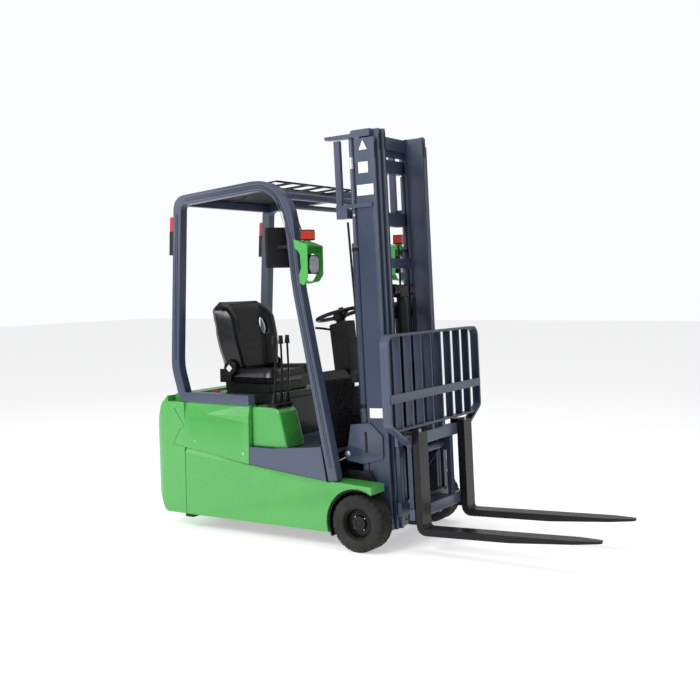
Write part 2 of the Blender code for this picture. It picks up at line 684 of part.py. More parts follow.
def light_bracket():
    """The left front lamp bracket with its work lamp and its indicator, on the front of the A-pillar."""
    front, outer, inner = -0.240, 0.579, 0.416
    skin = rounded([(-0.331, 1.771), (-0.326, 1.723), (-0.292, 1.696, 0.01), (-0.284, 1.610, 0.01),
                    (-0.298, 1.572, 0.01),
                    (-0.294, 1.525, 0.01), (-0.268, 1.510, 0.01), (front, 1.553, 0.01), (front, 1.737,
                                                                                         0.01)])
    cheek = plate(skin, "xz", outer - 0.004, outer)
    top = plate([(-0.327, 1.759), (front - 0.001, 1.728), (front - 0.001, 1.733), (-0.327, 1.764)], "xz",
                inner + 0.002, outer - 0.002)
    inside = plate(rounded([(-0.302, 1.756), (-0.302, 1.575), (front - 0.002, 1.561, 0.01),
                            (front - 0.002, 1.732)]),
                   "xz", inner, inner + 0.004)
    floor = plate([(inner + 0.0015, 1.568), (inner + 0.040, 1.532), (outer - 0.025, 1.520),
                   (outer - 0.0015, 1.536),
                   (outer - 0.0015, 1.543), (outer - 0.027, 1.526), (inner + 0.042,
                                                                     1.538), (inner + 0.0015, 1.575)],
                  "yz", -0.286, front - 0.003)
    arm = plate([(-0.288, 1.702), (pillar_face(1.702, 1), 1.702), (pillar_face(1.735, 1), 1.735),
                 (-0.288, 1.735)],
                "xz", 0.455, 0.475)
    shelf = box((-0.3005, -0.287), (inner + 0.0025, outer - 0.003), (1.690, 1.742))
    lamp = box((-0.290, -0.246), (0.455, 0.562), (1.575, 1.682), bevel=0.006)
    neck = box((-0.297, -0.270), (0.495, 0.523), (1.660, 1.700))
    signal = box((-0.302, -0.239), (0.500, 0.560), (1.764, 1.822), bevel=0.008)
    pin = rod((-0.270, 0.53, 1.735), (-0.270, 0.53, 1.770), 0.018, 12)
    return fuse(cheek, top, inside, floor, arm, shelf, lamp, neck, signal, pin)


def mirror():
    """The driver's mirror on the right A-pillar: a shell turned towards the seat, on a short arm."""
    shell = box((-0.012, 0.022), (-0.082, 0.082), (1.615, 1.850), bevel=0.012)
    shell.data.transform(Matrix.Translation((-0.535, -0.440, 0)) @ Matrix.Rotation(math.radians(-43), 4,
                                                                                   "Z"))
    arm = plate([(-0.530, 1.725), (pillar_face(1.725, -1), 1.725), (pillar_face(1.745, -1), 1.745),
                 (-0.530, 1.745)],
                "xz", -0.466, -0.448)
    return fuse(shell, arm)


def rear_lamp():
    """A narrow lamp on the back of the left rear pillar, which it follows."""
    slope = (GUARD_REAR_X - PILLAR_KNEE[0]) / (GUARD_TOP_REAR - PILLAR_KNEE[1])
    low, high = 1.710, 1.945
    face = [GUARD_REAR_X - slope * (GUARD_TOP_REAR - z) - GUARD_BAR / 2 * math.hypot(1, slope) - TOUCH
            for z in (low, high)]
    outline = [(face[0], low), (face[1], high), (face[1] - 0.030, high), (face[0] - 0.030, low)]
    return plate(outline, "xz", GUARD_OUTER_Y - 0.052, GUARD_OUTER_Y - 0.004, bevel=0.004)


truck.add("overhead_guard", overhead_guard(), SLATE)
truck.add("roof_grille", roof_grille(), BLACK)
truck.add("mirror", mirror(), PLASTIC)
for side, word in SIDE_NAMES:
    truck.add("light_bracket_" + word, mirrored(light_bracket(), side), GREEN)
    truck.add("rear_lamp_" + word, mirrored(rear_lamp(), side), LAMP)


# ---------------------------------------------------------------- hood and seat
def hood():
    return box((WEIGHT_FRONT_X + 0.008, COVER_FRONT_X), (-HOOD_HALF, HOOD_HALF),
               (COVER_TOP + TOUCH, HOOD_TOP), bevel=0.008)


def seat_back():
    side = rounded([(0, 0, SEAT_BACK_HEEL), (0.130, 0.0, 0.04), (0.172, 0.24, 0.12), (0.090, 0.44, 0.04),
                    (0.0, 0.455, 0.04)])
    turn = Matrix.Rotation(SEAT_LEAN, 2)
    outline = [turn @ Vector(point) + Vector((SEAT_BACK_X, SEAT_BACK_FOOT)) for point in side]
    body = plate(outline, "xz", -SEAT_HALF, SEAT_HALF)
    front = plate(rounded([(-SEAT_HALF, 0.90, 0.03), (SEAT_HALF, 0.90, 0.03), (SEAT_HALF, 1.30, 0.12),
                           (0.15, 1.42, 0.06), (-0.15, 1.42, 0.06), (-SEAT_HALF, 1.30,
                                                                     0.12)]), "yz", -1.6, -0.9)
    return common(body, front)


def seat_cushion():
    return plate(rounded([(CUSHION_REAR_X, 0.905), (SEAT_FRONT_X, 0.905, 0.03),
                          (SEAT_FRONT_X, 0.985, 0.035),
                          (CUSHION_REAR_X, 0.968)]), "xz", -SEAT_HALF, SEAT_HALF, bevel=0.012)


hood_hinge.add("battery_hood", hood(), GREEN)
seat_slide.add("seat_base", fuse(
    box((SEAT_REAR_X + 0.01, SEAT_FRONT_X - 0.04), (-0.20, 0.20), (HOOD_TOP + SEAT_PLAY, 0.9046),
        bevel=0.006),
    box((SEAT_BACK_X + 0.015, SEAT_BACK_X + 0.06), (-0.18, 0.18),
        (0.86, SEAT_BACK_FOOT + SEAT_BACK_HEEL * math.sin(SEAT_LEAN) - SEAT_PLAY)),
), PLASTIC)
seat_slide.add("seat_cushion", seat_cushion(), VINYL)
seat_slide.add("seat_back", seat_back(), VINYL)


# ---------------------------------------------------------------- wheels
def front_tyre():
    outer, inner, half = FRONT_RADIUS, FRONT_BORE, FRONT_TYRE_WIDTH / 2
    shoulder = 0.016
    profile = [(inner, half - 0.02), (inner + 0.008, half - 0.004), (outer - 0.03, half),
               (outer - 0.006, half - shoulder * 0.6), (outer, half - shoulder * 1.5),
               (outer, -half + shoulder * 1.5), (outer - 0.006, -half + shoulder * 0.6),
               (outer - 0.03, -half), (inner + 0.008, -half + 0.004), (inner, -half + 0.02)]
    return turned(profile, (0, HALF_WIDTH - half, FRONT_AXLE_Z))


def front_rim():
    bore, rim, half = STUB_RADIUS + BORE_PLAY, FRONT_BORE - TOUCH, FRONT_TYRE_WIDTH / 2
    face = half - 0.050
    profile = [(bore, face + 0.022), (0.040, face + 0.022), (0.046, face + 0.008), (0.072, face + 0.004),
               (rim - 0.008, half - 0.022), (rim, half - 0.022), (rim, -half + 0.022),
               (rim - 0.008, -half + 0.022), (0.070, face - 0.008), (0.045, face - 0.010), (bore,
                                                                                            face - 0.010)]
    return turned(profile, (0, HALF_WIDTH - half, FRONT_AXLE_Z))


for side, word in SIDE_NAMES:
    hub = Frame("front_wheel_axis_" + word, (0, side * (HALF_WIDTH - FRONT_TYRE_WIDTH / 2), FRONT_AXLE_Z),
                truck)
    hub.add("front_tyre_" + word, mirrored(front_tyre(), side), RUBBER)
    hub.add("front_rim_" + word, mirrored(front_rim(), side), BLACK)


def rear_tyre(side):
    outer, inner, half = REAR_RADIUS, REAR_BORE, REAR_TYRE_WIDTH / 2
    profile = [(inner, half - 0.012), (outer - 0.025, half), (outer, half - 0.018), (outer, -half + 0.018),
               (outer - 0.025, -half), (inner, -half + 0.012)]
    return turned(profile, (-WHEELBASE, side * (TWIN_GAP / 2 + half), REAR_AXLE_Z))


def rear_hubs():
    """Both rear rims on the one axle that they share."""
    half = REAR_TYRE_WIDTH / 2
    centre = (-WHEELBASE, 0, REAR_AXLE_Z)
    reach = TWIN_GAP / 2 + REAR_TYRE_WIDTH
    axle = rod((-WHEELBASE, -reach, REAR_AXLE_Z), (-WHEELBASE, reach, REAR_AXLE_Z), 0.018, 24)
    rims = []
    for side in (LEFT, RIGHT):
        middle = TWIN_GAP / 2 + half
        profile = [(0.010, middle + 0.010), (REAR_BORE - TOUCH, middle + half - 0.016),
                   (REAR_BORE - TOUCH, middle - half + 0.016), (0.010, middle - 0.012)]
        rims.append(mirrored(turned(profile, centre), side))
    return fuse(axle, *rims)


def steer_yoke():
    pin = rod((-WHEELBASE, 0, 0.30), (-WHEELBASE, 0, SHELF_TOP - 0.008), 0.030, 24)
    flange = rod((-WHEELBASE, 0, 0.318), (-WHEELBASE, 0, SHELF_TOP - 0.036), 0.085, 28)
    post = box((-WHEELBASE - 0.045, -WHEELBASE + 0.045), (-0.032, 0.032), (REAR_AXLE_Z - 0.045, 0.325),
               bevel=0.008)
    bore = rod((-WHEELBASE, -0.1, REAR_AXLE_Z), (-WHEELBASE, 0.1, REAR_AXLE_Z), 0.018 + BORE_PLAY, 24)
    return cut(fuse(post, flange, pin), bore)


steer_axis.add("steer_yoke", steer_yoke(), BLACK)
for side, word in SIDE_NAMES:
    rear_axle.add("rear_tyre_" + word, rear_tyre(side), RUBBER)
rear_axle.add("rear_hubs", rear_hubs(), BLACK)


# ---------------------------------------------------------------- steering wheel
def steering_wheel():
    """Rim, three spokes, hub and knob, laid out flat round the origin and then leant."""
    bm = bmesh.new()
    steps, round_steps, thick = 36, 8, 0.0125
    rings = []
    for k in range(steps):
        a = 2 * math.pi * (k + 0.37) / steps
        ring = []
        for j in range(round_steps):
            b = 2 * math.pi * (j + 0.3) / round_steps
            reach = STEER_RADIUS - thick + thick * math.cos(b)
            ring.append(bm.verts.new((reach * math.cos(a), reach * math.sin(a), thick * math.sin(b))))
        rings.append(ring)
    for k in range(steps):
        for j in range(round_steps):
            n, m = (k + 1) % steps, (j + 1) % round_steps
            bm.faces.new((rings[k][j], rings[n][j], rings[n][m], rings[k][m]))
    rim = from_bmesh(bm)
    spokes = []
    for angle in (90, 210, 330):
        a = math.radians(angle)
        end = (STEER_RADIUS - 0.012) * Vector((math.cos(a), math.sin(a), 0))
        spokes.append(tube([end * 0.12 + Vector((0, 0, -0.018)), end * 0.5 + Vector((0, 0, -0.014)), end],
                           0.009, 1))
    hub = rod((0, 0, -STEER_HUB), (0, 0, 0.002), 0.038, 20)
    knob_at = math.radians(113.5)
    at = (STEER_RADIUS - 0.014) * Vector((math.cos(knob_at), math.sin(knob_at), 0))
    knob = fuse(rod(at, at + Vector((0, 0, 0.030)), 0.008, 12),
                rod(at + Vector((0, 0, 0.022)), at + Vector((0, 0, 0.055)), 0.019, 16, 0.016))
    wheel = fuse(rim, *spokes, hub, knob)
    wheel.data.transform(Matrix.Translation(STEER_CENTRE) @ Matrix.Rotation(-STEER_LEAN, 4, "Y"))
    return wheel


steering.add("steering_wheel", steering_wheel(), PLASTIC)


# ---------------------------------------------------------------- mast
def rail(stage, top=RAIL_TOP, bottom=RAIL_BOTTOM):
    """The left channel of a stage, 0 outer, 1 middle, 2 inner, open towards the middle."""
    x0 = STAGE_STEP * stage
    x1 = x0 + RAIL_DEPTH
    y1 = MAST_OUTER_Y - RAIL_PITCH * stage
    y0 = y1 - RAIL_WIDTH
    outline = [(x0, y0), (x0, y1), (x1, y1), (x1, y0), (x1 - FLANGE, y0), (x1 - FLANGE, y1 - WEB),
               (x0 + FLANGE, y1 - WEB), (x0 + FLANGE, y0)]
    return plate(outline, "xy", bottom, top)


def rails(stage, **heights):
    return [mirrored(rail(stage, **heights), side) for side in (LEFT, RIGHT)]


def inner_face(stage):
    return MAST_OUTER_Y - RAIL_PITCH * stage - RAIL_WIDTH


def mast_roller(stage, side, z):
    """A roller that runs in the channel of a stage, carried by the piece inside that stage."""
    x = STAGE_STEP * stage + RAIL_DEPTH / 2
    face = inner_face(stage)
    return rod((x, side * (face - 0.012), z), (x, side * (face + RAIL_WIDTH - WEB - 0.003), z),
               RAIL_DEPTH / 2 - FLANGE - ROLLER_PLAY, 24)


def outer_mast():
    top = RAIL_TOP - 0.048
    pieces = rails(0, top=top)
    reach = inner_face(0) + 0.012
    for low, high in ((0.23, 0.40), (0.95, 1.03), (1.855, 1.935), (2.17, 2.25)):
        pieces.append(box((-0.050, STAGE_STEP - RUN - 0.004), (-0.235, 0.235), (low, high)))
        for side in (LEFT, RIGHT):
            pieces.append(box((-0.0035, 0.004), sorted((side * 0.225, side * reach)),
                              (low + 0.004, high - 0.004)))
    for side in (LEFT, RIGHT):
        lug = rounded([(0.01, 0.115), (PIVOT.x - 0.005, 0.118, 0.03), (PIVOT.x - 0.034, PIVOT.z, 0.03),
                       (PIVOT.x - 0.005, 0.212, 0.03), (0.01, 0.230)])
        pieces.append(mirrored(plate(lug, "xz", 0.258, 0.290), side))
        pieces.append(box((-0.004, 0.006), sorted((side * 0.262, side * 0.300)), (0.116, 0.229)))
        ear = rounded([(-0.172, 0.500, 0.03), (-0.135, 0.585, 0.02), (-0.110, 0.705), (0.02, 0.715),
                       (0.098, 0.640, 0.02),
                       (0.098, 0.515, 0.02), (-0.040, 0.478, 0.02)])
        pieces.append(mirrored(plate(ear, "xz", MAST_OUTER_Y - 0.001, MAST_OUTER_Y + 0.011), side))
        pieces.append(rod((TILT_EYE.x, side * (TILT_EYE.y - 0.018), TILT_EYE.z),
                          (TILT_EYE.x, side * (MAST_OUTER_Y + 0.018), TILT_EYE.z), TILT_PIN_RADIUS))
        pieces.append(box((GUIDE_REAR_X, 0.105),
                          sorted((side * (MAST_OUTER_Y - 0.001), side * (MAST_OUTER_Y + 0.010))),
                          (1.945, 1.968)))
        pieces.append(box((GUIDE_REAR_X, -0.062), sorted((side * 0.275, side * (MAST_OUTER_Y + 0.009))),
                          (1.890, 1.946)))
        pieces.append(box((GUIDE_REAR_X, -0.096), sorted((side * 0.300, side * 0.324)), (1.940, 2.335)))
        pieces.append(box((-0.055, 0.005), sorted((side * 0.270, side * 0.312)), (0.222, LIFT_FOOT)))
    body = fuse(*pieces)
    bores = [rod((PIVOT.x, side * 0.2, PIVOT.z), (PIVOT.x, side * 0.2865, PIVOT.z), 0.014 + BORE_PLAY)
             for side in (LEFT, RIGHT)]
    return cut(body, *bores)


def lift_cylinder():
    """The left side cylinder's barrel, open at the top for its rod."""
    inside = LIFT_ROD_RADIUS + BORE_PLAY
    outside = LIFT_BARREL_RADIUS
    base, top = LIFT_FOOT + TOUCH, LIFT_BARREL_TOP
    collar = 0.0015
    profile = [(0.0, base), (outside, base), (outside, 0.775), (outside + collar, 0.777),
               (outside + collar, 0.790),
               (outside, 0.792), (outside, top - 0.045), (outside + collar,
                                                          top - 0.043), (outside + collar, top),
               (inside, top), (inside, base + 0.05), (0.0, base + 0.05)]
    return turned(profile[::-1], (LIFT_CYLINDER_X, LIFT_CYLINDER_Y, 0), axis="z", steps=20)


def middle_mast():
    pieces = rails(1)
    inner = inner_face(1)
    for low, high in ((0.42, 0.50), (1.30, 1.38), (2.262, 2.345)):
        pieces.append(box((STAGE_STEP - 0.005, STAGE_STEP + 0.0065), (-inner - 0.012, inner + 0.012),
                          (low, high)))
    for side in (LEFT, RIGHT):
        ear = rounded([(0.105, 2.342), (0.105, RAIL_TOP), (-0.014, RAIL_TOP), (-0.022, 2.366),
                       (GUIDE_REAR_X - 0.061, 2.366),
                       (GUIDE_REAR_X - 0.061, 2.349), (-0.022, 2.342)])
        pieces.append(mirrored(plate(ear, "xz", inner + 0.012, MAST_OUTER_Y + 0.003), side))
        pieces.append(mast_roller(0, side, RAIL_BOTTOM + 0.075))
    return fuse(*pieces)


def lift_rod(side):
    return rod((LIFT_CYLINDER_X, side * LIFT_CYLINDER_Y, LIFT_FOOT + 0.06),
               (LIFT_CYLINDER_X, side * LIFT_CYLINDER_Y, 2.342 - TOUCH), LIFT_ROD_RADIUS, 20)


def inner_mast():
    pieces = rails(2)
    inner = inner_face(2)
    for low, high in ((1.60, 1.66), (2.30, 2.375)):
        pieces.append(box((STAGE_STEP * 2, STAGE_STEP * 2 + 0.012), (-inner - 0.01, inner + 0.01),
                          (low, high)))
    pieces.append(box((STAGE_STEP * 2, 0.135), (-inner - 0.01, inner + 0.01), (RAIL_BOTTOM + 0.002, 0.130)))
    for side in (LEFT, RIGHT):
        pieces.append(mast_roller(1, side, RAIL_BOTTOM + 0.075))
    return fuse(*pieces)


def free_cylinder():
    inside, outside = FREE_ROD_RADIUS + BORE_PLAY, FREE_BARREL_RADIUS
    base, top = 0.130 + TOUCH, FREE_BARREL_TOP
    profile = [(0.0, base), (outside, base), (outside, top), (inside, top), (inside, base + 0.05),
               (0.0, base + 0.05)]
    return turned(profile[::-1], (FREE_CYLINDER_X, 0, 0), axis="z", steps=24)


def crosshead():
    x = FREE_CYLINDER_X
    ram = rod((x, 0, 0.20), (x, 0, CROSSHEAD_Z - 0.03), FREE_ROD_RADIUS, 24)
    block = box((x - 0.028, x + 0.028), (-0.052, 0.052), (CROSSHEAD_Z - 0.045, CROSSHEAD_Z + 0.030),
                bevel=0.005)
    shaft = rod((x, -0.125, CROSSHEAD_Z), (x, 0.125, CROSSHEAD_Z), 0.013, 16)
    sheaves = []
    for side in (LEFT, RIGHT):
        sheaves.append(rod((x, side * 0.062, CROSSHEAD_Z), (x, side * 0.086, CROSSHEAD_Z), SHEAVE_RADIUS,
                           24))
        sheaves.append(rod((x, side * 0.095, CROSSHEAD_Z), (x, side * 0.119, CROSSHEAD_Z), SHEAVE_RADIUS,
                           24))
    return fuse(block, ram, shaft, *sheaves)


mast_tilt.add("outer_mast", outer_mast(), SLATE)
middle_lift.add("middle_mast", middle_mast(), SLATE)
for side, word in SIDE_NAMES:
    mast_tilt.add("lift_cylinder_" + word, mirrored(lift_cylinder(), side), SLATE)
    middle_lift.add("lift_rod_" + word, lift_rod(side), CHROME)
inner_lift.add("inner_mast", inner_mast(), SLATE)
inner_lift.add("free_lift_cylinder", free_cylinder(), BLACK)
free_lift.add("free_lift_crosshead", crosshead(), BLACK)


# ---------------------------------------------------------------- carriage and forks
def carriage():
    half = inner_face(2) - 0.012
    pieces = [
        box((0.158, CARRIAGE_FACE_X), (-0.30, 0.30), (0.575, CARRIAGE_TOP), bevel=0.003),
        box((0.158, CARRIAGE_FACE_X), (-0.30, 0.30), (0.175, 0.255), bevel=0.003),
    ]
    for side in (LEFT, RIGHT):
        pieces.append(box((0.060, 0.164), sorted((side * (half - 0.018), side * (half + 0.003))),
                          (CARRIAGE_BOTTOM, CARRIAGE_TOP - 0.01)))
        pieces.append(box((0.159, 0.181), sorted((side * 0.252, side * 0.290)),
                          (CARRIAGE_BOTTOM + 0.002, CARRIAGE_TOP - 0.003)))
        for z in (0.235, 0.570):
            pieces.append(mast_roller(2, side, z))
    return fuse(*pieces)


def side_shifter():
    back = BAR_FRONT_X - BAR_THICKNESS
    pieces = [
        box((back, BAR_FRONT_X), (-BAR_HALF, BAR_HALF), (UPPER_BAR_TOP - 0.07, UPPER_BAR_TOP), bevel=0.004),
        box((back, BAR_FRONT_X), (-BAR_HALF, BAR_HALF), (0.170, 0.235), bevel=0.004),
    ]
    for side in (LEFT, RIGHT):
        for y in (0.16, BAR_HALF - 0.028):
            pieces.append(box((back + 0.002, BAR_FRONT_X - 0.006),
                              sorted((side * (y - 0.02), side * (y + 0.02))),
                              (0.20, 0.62)))
    rear = CARRIAGE_FACE_X + 2 * TOUCH
    pieces.append(box((rear, back + 0.002), (-0.18, 0.18), (0.592, 0.628)))
    pieces.append(box((rear, back + 0.002), (-0.18, 0.18), (0.196, 0.228)))
    pieces.append(rod((0.226, -0.20, 0.538), (0.226, 0.20, 0.538), 0.024, 20))
    for side in (LEFT, RIGHT):
        pieces.append(box((0.210, back + 0.002), sorted((side * 0.142, side * 0.178)), (0.50, 0.575)))
    return fuse(*pieces)


def load_backrest():
    """A frame of flat bars on edge that stands on the upper bar."""
    thin, x0, x1 = 0.014, BAR_FRONT_X - 0.042, BAR_FRONT_X + 0.008
    foot, shelf = UPPER_BAR_TOP + TOUCH, SHANK_TOP + 0.028
    edge, top = REST_HALF - thin / 2, REST_TOP - thin / 2
    knee, toe = (edge, 0.728), (BAR_HALF + thin / 2 + TOUCH, 0.605)
    path = rounded([toe, (*knee, 0.03), (edge, top, 0.055), (-edge, top, 0.055), (-knee[0], knee[1], 0.03),
                    (-toe[0], toe[1])])
    pieces = [plate(strip(path, thin), "yz", x0, x1)]
    slope = (knee[1] - toe[1]) / (knee[0] - toe[0])
    shelf_reach = toe[0] + (shelf - toe[1]) / slope
    pieces.append(box((x0, x1 - 0.006), (-shelf_reach, shelf_reach), (shelf - 0.008, shelf + 0.006)))
    for y in (-0.062, 0.062):
        pieces.append(box((x0 + 0.004, BAR_FRONT_X - 0.004), (y - 0.010, y + 0.010), (foot, shelf)))
    for k in range(8):
        y = (k - 3.5) * REST_PITCH
        pieces.append(box((x0 + 0.002, x1 - 0.004), (y - 0.006, y + 0.006), (shelf, top)))
    pieces.append(box((x1 - 0.008, x1 + 0.004), (-edge, edge), (0.850, 0.898)))
    return fuse(*pieces)


def fork(side):
    x0, x1 = SHANK_X, SHANK_X + FORK_THICKNESS
    low, top = FORK_BOTTOM, FORK_BOTTOM + FORK_THICKNESS
    tip = x1 + FORK_LENGTH
    outline = rounded([
        (x0, SHANK_TOP), (x0, low, 0.055), (x0 + 0.55, low, 0.4), (tip, top - 0.012), (tip, top), (x1, top,
                                                                                                   0.018),
        (x1, SHANK_TOP),
    ])
    y0, y1 = side * FORK_SPACING - FORK_WIDTH / 2, side * FORK_SPACING + FORK_WIDTH / 2
    body = plate(outline, "xz", y0, y1, bevel=0.004)
    nose = plate(rounded([(tip - 0.14, y0 - 0.01), (tip - 0.14, y0), (tip, y0 + 0.030, 0.02),
                          (tip, y1 - 0.030, 0.02),
                          (tip - 0.14, y1), (tip - 0.14, y1 + 0.01), (x0 - 0.2, y1 + 0.01), (x0 - 0.2,
                                                                                             y0 - 0.01)]),
                 "xy", -0.2, 1.0)
    body = common(body, nose)
    hook_y = (y0 + 0.012, y1 - 0.012)
    back = BAR_FRONT_X - BAR_THICKNESS
    hooks = [
        box((back - 0.017, x0 + 0.002), hook_y, (UPPER_BAR_TOP + HOOK_PLAY, SHANK_TOP + 0.008),
            bevel=0.002),
        box((back - 0.017, back - 0.005), hook_y, (UPPER_BAR_TOP - 0.02, UPPER_BAR_TOP + 0.004)),
        box((back - 0.017, x0 + 0.002), hook_y, (0.145, 0.165), bevel=0.002),
        box((back - 0.017, back - 0.005), hook_y, (0.160, 0.188)),
    ]
    return fuse(body, *hooks)


carriage_lift.add("carriage", carriage(), SLATE)
side_shift.add("side_shifter", side_shifter(), SLATE)
side_shift.add("load_backrest", load_backrest(), SLATE)
for side, word in SIDE_NAMES:
    fork_slide = Frame("fork_slide_" + word, (SHANK_X, side * FORK_SPACING, FORK_BOTTOM), side_shift)
    fork_slide.add("fork_" + word, fork(side), BLACK)


# ---------------------------------------------------------------- tilt cylinders
def tilt_barrel(anchor, eye):
    """Barrel from the chassis pin towards the mast pin, bored for its rod."""
    along = (eye - anchor).normalized()
    start = anchor + along * 0.028
    end = anchor + along * TILT_BARREL_LENGTH
    barrel = rod(start, end, TILT_BARREL_RADIUS, 24)
    boss = rod(anchor + Vector((0, -0.016, 0)), anchor + Vector((0, 0.016, 0)), 0.030, 24)
    barrel = fuse(barrel, boss)
    return cut(
        barrel,
        rod(anchor + along * 0.06, anchor + along * (TILT_BARREL_LENGTH + 0.02),
            TILT_ROD_RADIUS + BORE_PLAY, 20),
        rod(anchor + Vector((0, -0.05, 0)), anchor + Vector((0, 0.05, 0)), TILT_PIN_RADIUS + BORE_PLAY, 20),
    )


def tilt_rod(anchor, eye):
    along = (eye - anchor).normalized()
    bar = rod(anchor + along * 0.10, eye - along * 0.02, TILT_ROD_RADIUS, 20)
    boss = rod(eye + Vector((0, -0.014, 0)), eye + Vector((0, 0.014, 0)), 0.026, 24)
    bore = rod(eye + Vector((0, -0.05, 0)), eye + Vector((0, 0.05, 0)), TILT_PIN_RADIUS + 0.004, 20)
    return cut(fuse(bar, boss), bore)


for side, word in SIDE_NAMES:
    anchor = Vector((TILT_ANCHOR.x, side * TILT_ANCHOR.y, TILT_ANCHOR.z))
    eye = after_tilt((TILT_EYE.x, side * TILT_EYE.y, TILT_EYE.z))
    barrel_hinge = Frame("tilt_barrel_hinge_" + word, anchor, truck)
    barrel_hinge.add("tilt_cylinder_" + word, tilt_barrel(anchor, eye), BLACK)
    rod_slide = Frame("tilt_rod_slide_" + word, anchor, barrel_hinge)
    rod_slide.add("tilt_rod_" + word, tilt_rod(anchor, eye), CHROME)


def centre_truck():
    """Puts the middle of the whole machine over the origin."""
    bpy.context.view_layer.update()
    reach = [(obj.matrix_world @ Vector(corner)).x for obj in PARTS.objects if obj.type == "MESH"
             for corner in [vert.co for vert in obj.data.vertices]]
    truck.empty.location.x -= (min(reach) + max(reach)) / 2
    bpy.context.view_layer.update()


centre_truck()
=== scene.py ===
import json
import math

import bmesh
import bpy
from mathutils import Matrix, Vector


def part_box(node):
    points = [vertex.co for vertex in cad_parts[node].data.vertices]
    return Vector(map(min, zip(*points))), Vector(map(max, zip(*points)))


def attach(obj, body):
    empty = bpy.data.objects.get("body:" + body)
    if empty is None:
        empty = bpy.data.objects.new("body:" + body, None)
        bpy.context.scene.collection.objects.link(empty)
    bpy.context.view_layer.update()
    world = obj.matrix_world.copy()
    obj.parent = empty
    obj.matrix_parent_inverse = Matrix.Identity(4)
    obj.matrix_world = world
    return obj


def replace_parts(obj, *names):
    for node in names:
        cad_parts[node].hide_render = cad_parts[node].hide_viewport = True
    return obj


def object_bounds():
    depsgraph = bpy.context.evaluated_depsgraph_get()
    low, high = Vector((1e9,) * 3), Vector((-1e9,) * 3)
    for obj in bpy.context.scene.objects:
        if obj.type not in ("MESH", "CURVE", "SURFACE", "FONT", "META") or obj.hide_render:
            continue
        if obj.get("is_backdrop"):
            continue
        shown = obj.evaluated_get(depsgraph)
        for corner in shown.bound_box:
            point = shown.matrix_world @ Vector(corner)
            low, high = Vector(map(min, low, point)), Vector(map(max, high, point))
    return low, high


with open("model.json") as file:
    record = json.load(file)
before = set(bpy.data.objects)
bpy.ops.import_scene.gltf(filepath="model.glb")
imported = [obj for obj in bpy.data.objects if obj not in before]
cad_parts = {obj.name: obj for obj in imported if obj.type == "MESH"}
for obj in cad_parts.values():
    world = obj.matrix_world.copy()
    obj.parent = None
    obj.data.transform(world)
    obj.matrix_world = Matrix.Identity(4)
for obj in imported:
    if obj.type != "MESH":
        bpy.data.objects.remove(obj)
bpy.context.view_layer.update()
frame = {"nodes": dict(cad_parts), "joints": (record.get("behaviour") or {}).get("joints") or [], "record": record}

RIM_LOW, RIM_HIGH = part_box("front_rim_left")
AXLE_X = (RIM_LOW.x + RIM_HIGH.x) / 2
JOINTS = {joint["name"]: joint for joint in frame["joints"]}
PIVOT = Vector(JOINTS["mast_tilt"]["pos_m"])
MAST_UP = Vector(JOINTS["middle_mast_lift"]["axis"]).normalized()
LEAN = Matrix.Rotation(math.atan2(MAST_UP.x, MAST_UP.z), 3, "Y")
WORDS = {"left": 1, "right": -1}
SKIN = 0.0008               # how far a plate or label stands off what it is on


def on_truck(point):
    """A layout point's place in the frame."""
    return Vector(point) + Vector((AXLE_X, 0, 0))


def on_mast(point):
    """The same for a point on the mast: turned about its pivot to the lean that it has at rest."""
    return PIVOT + LEAN @ (on_truck(point) - PIVOT)


def in_frame(point):
    return Vector(point)


def around(centre):
    """A place for points that are measured from a centre in the frame."""
    return lambda point: Vector(point) + centre


def on_side(side, near, far):
    """The range of y between two distances from the middle, on the left (1) or the right (-1)."""
    return sorted((side * near, side * far))


# ---------------------------------------------------------------- finishes
COAT_ROUGHNESS = 0.12
BUMP_STRENGTH, CELL_STRENGTH = 0.14, 0.35
EDGE_HIGHLIGHT_FROM, EDGE_HIGHLIGHT_TO, EDGE_HIGHLIGHT_SHARE = 0.52, 0.60, 0.55       # the pointiness at which sharp edges get their painted highlight, and how much of it
DUST_FROM, DUST_TO = 0.45, 0.80          # the noise at which dust starts to lie, and lies in full
DUST_TINT = (1.0, 0.97, 0.92)


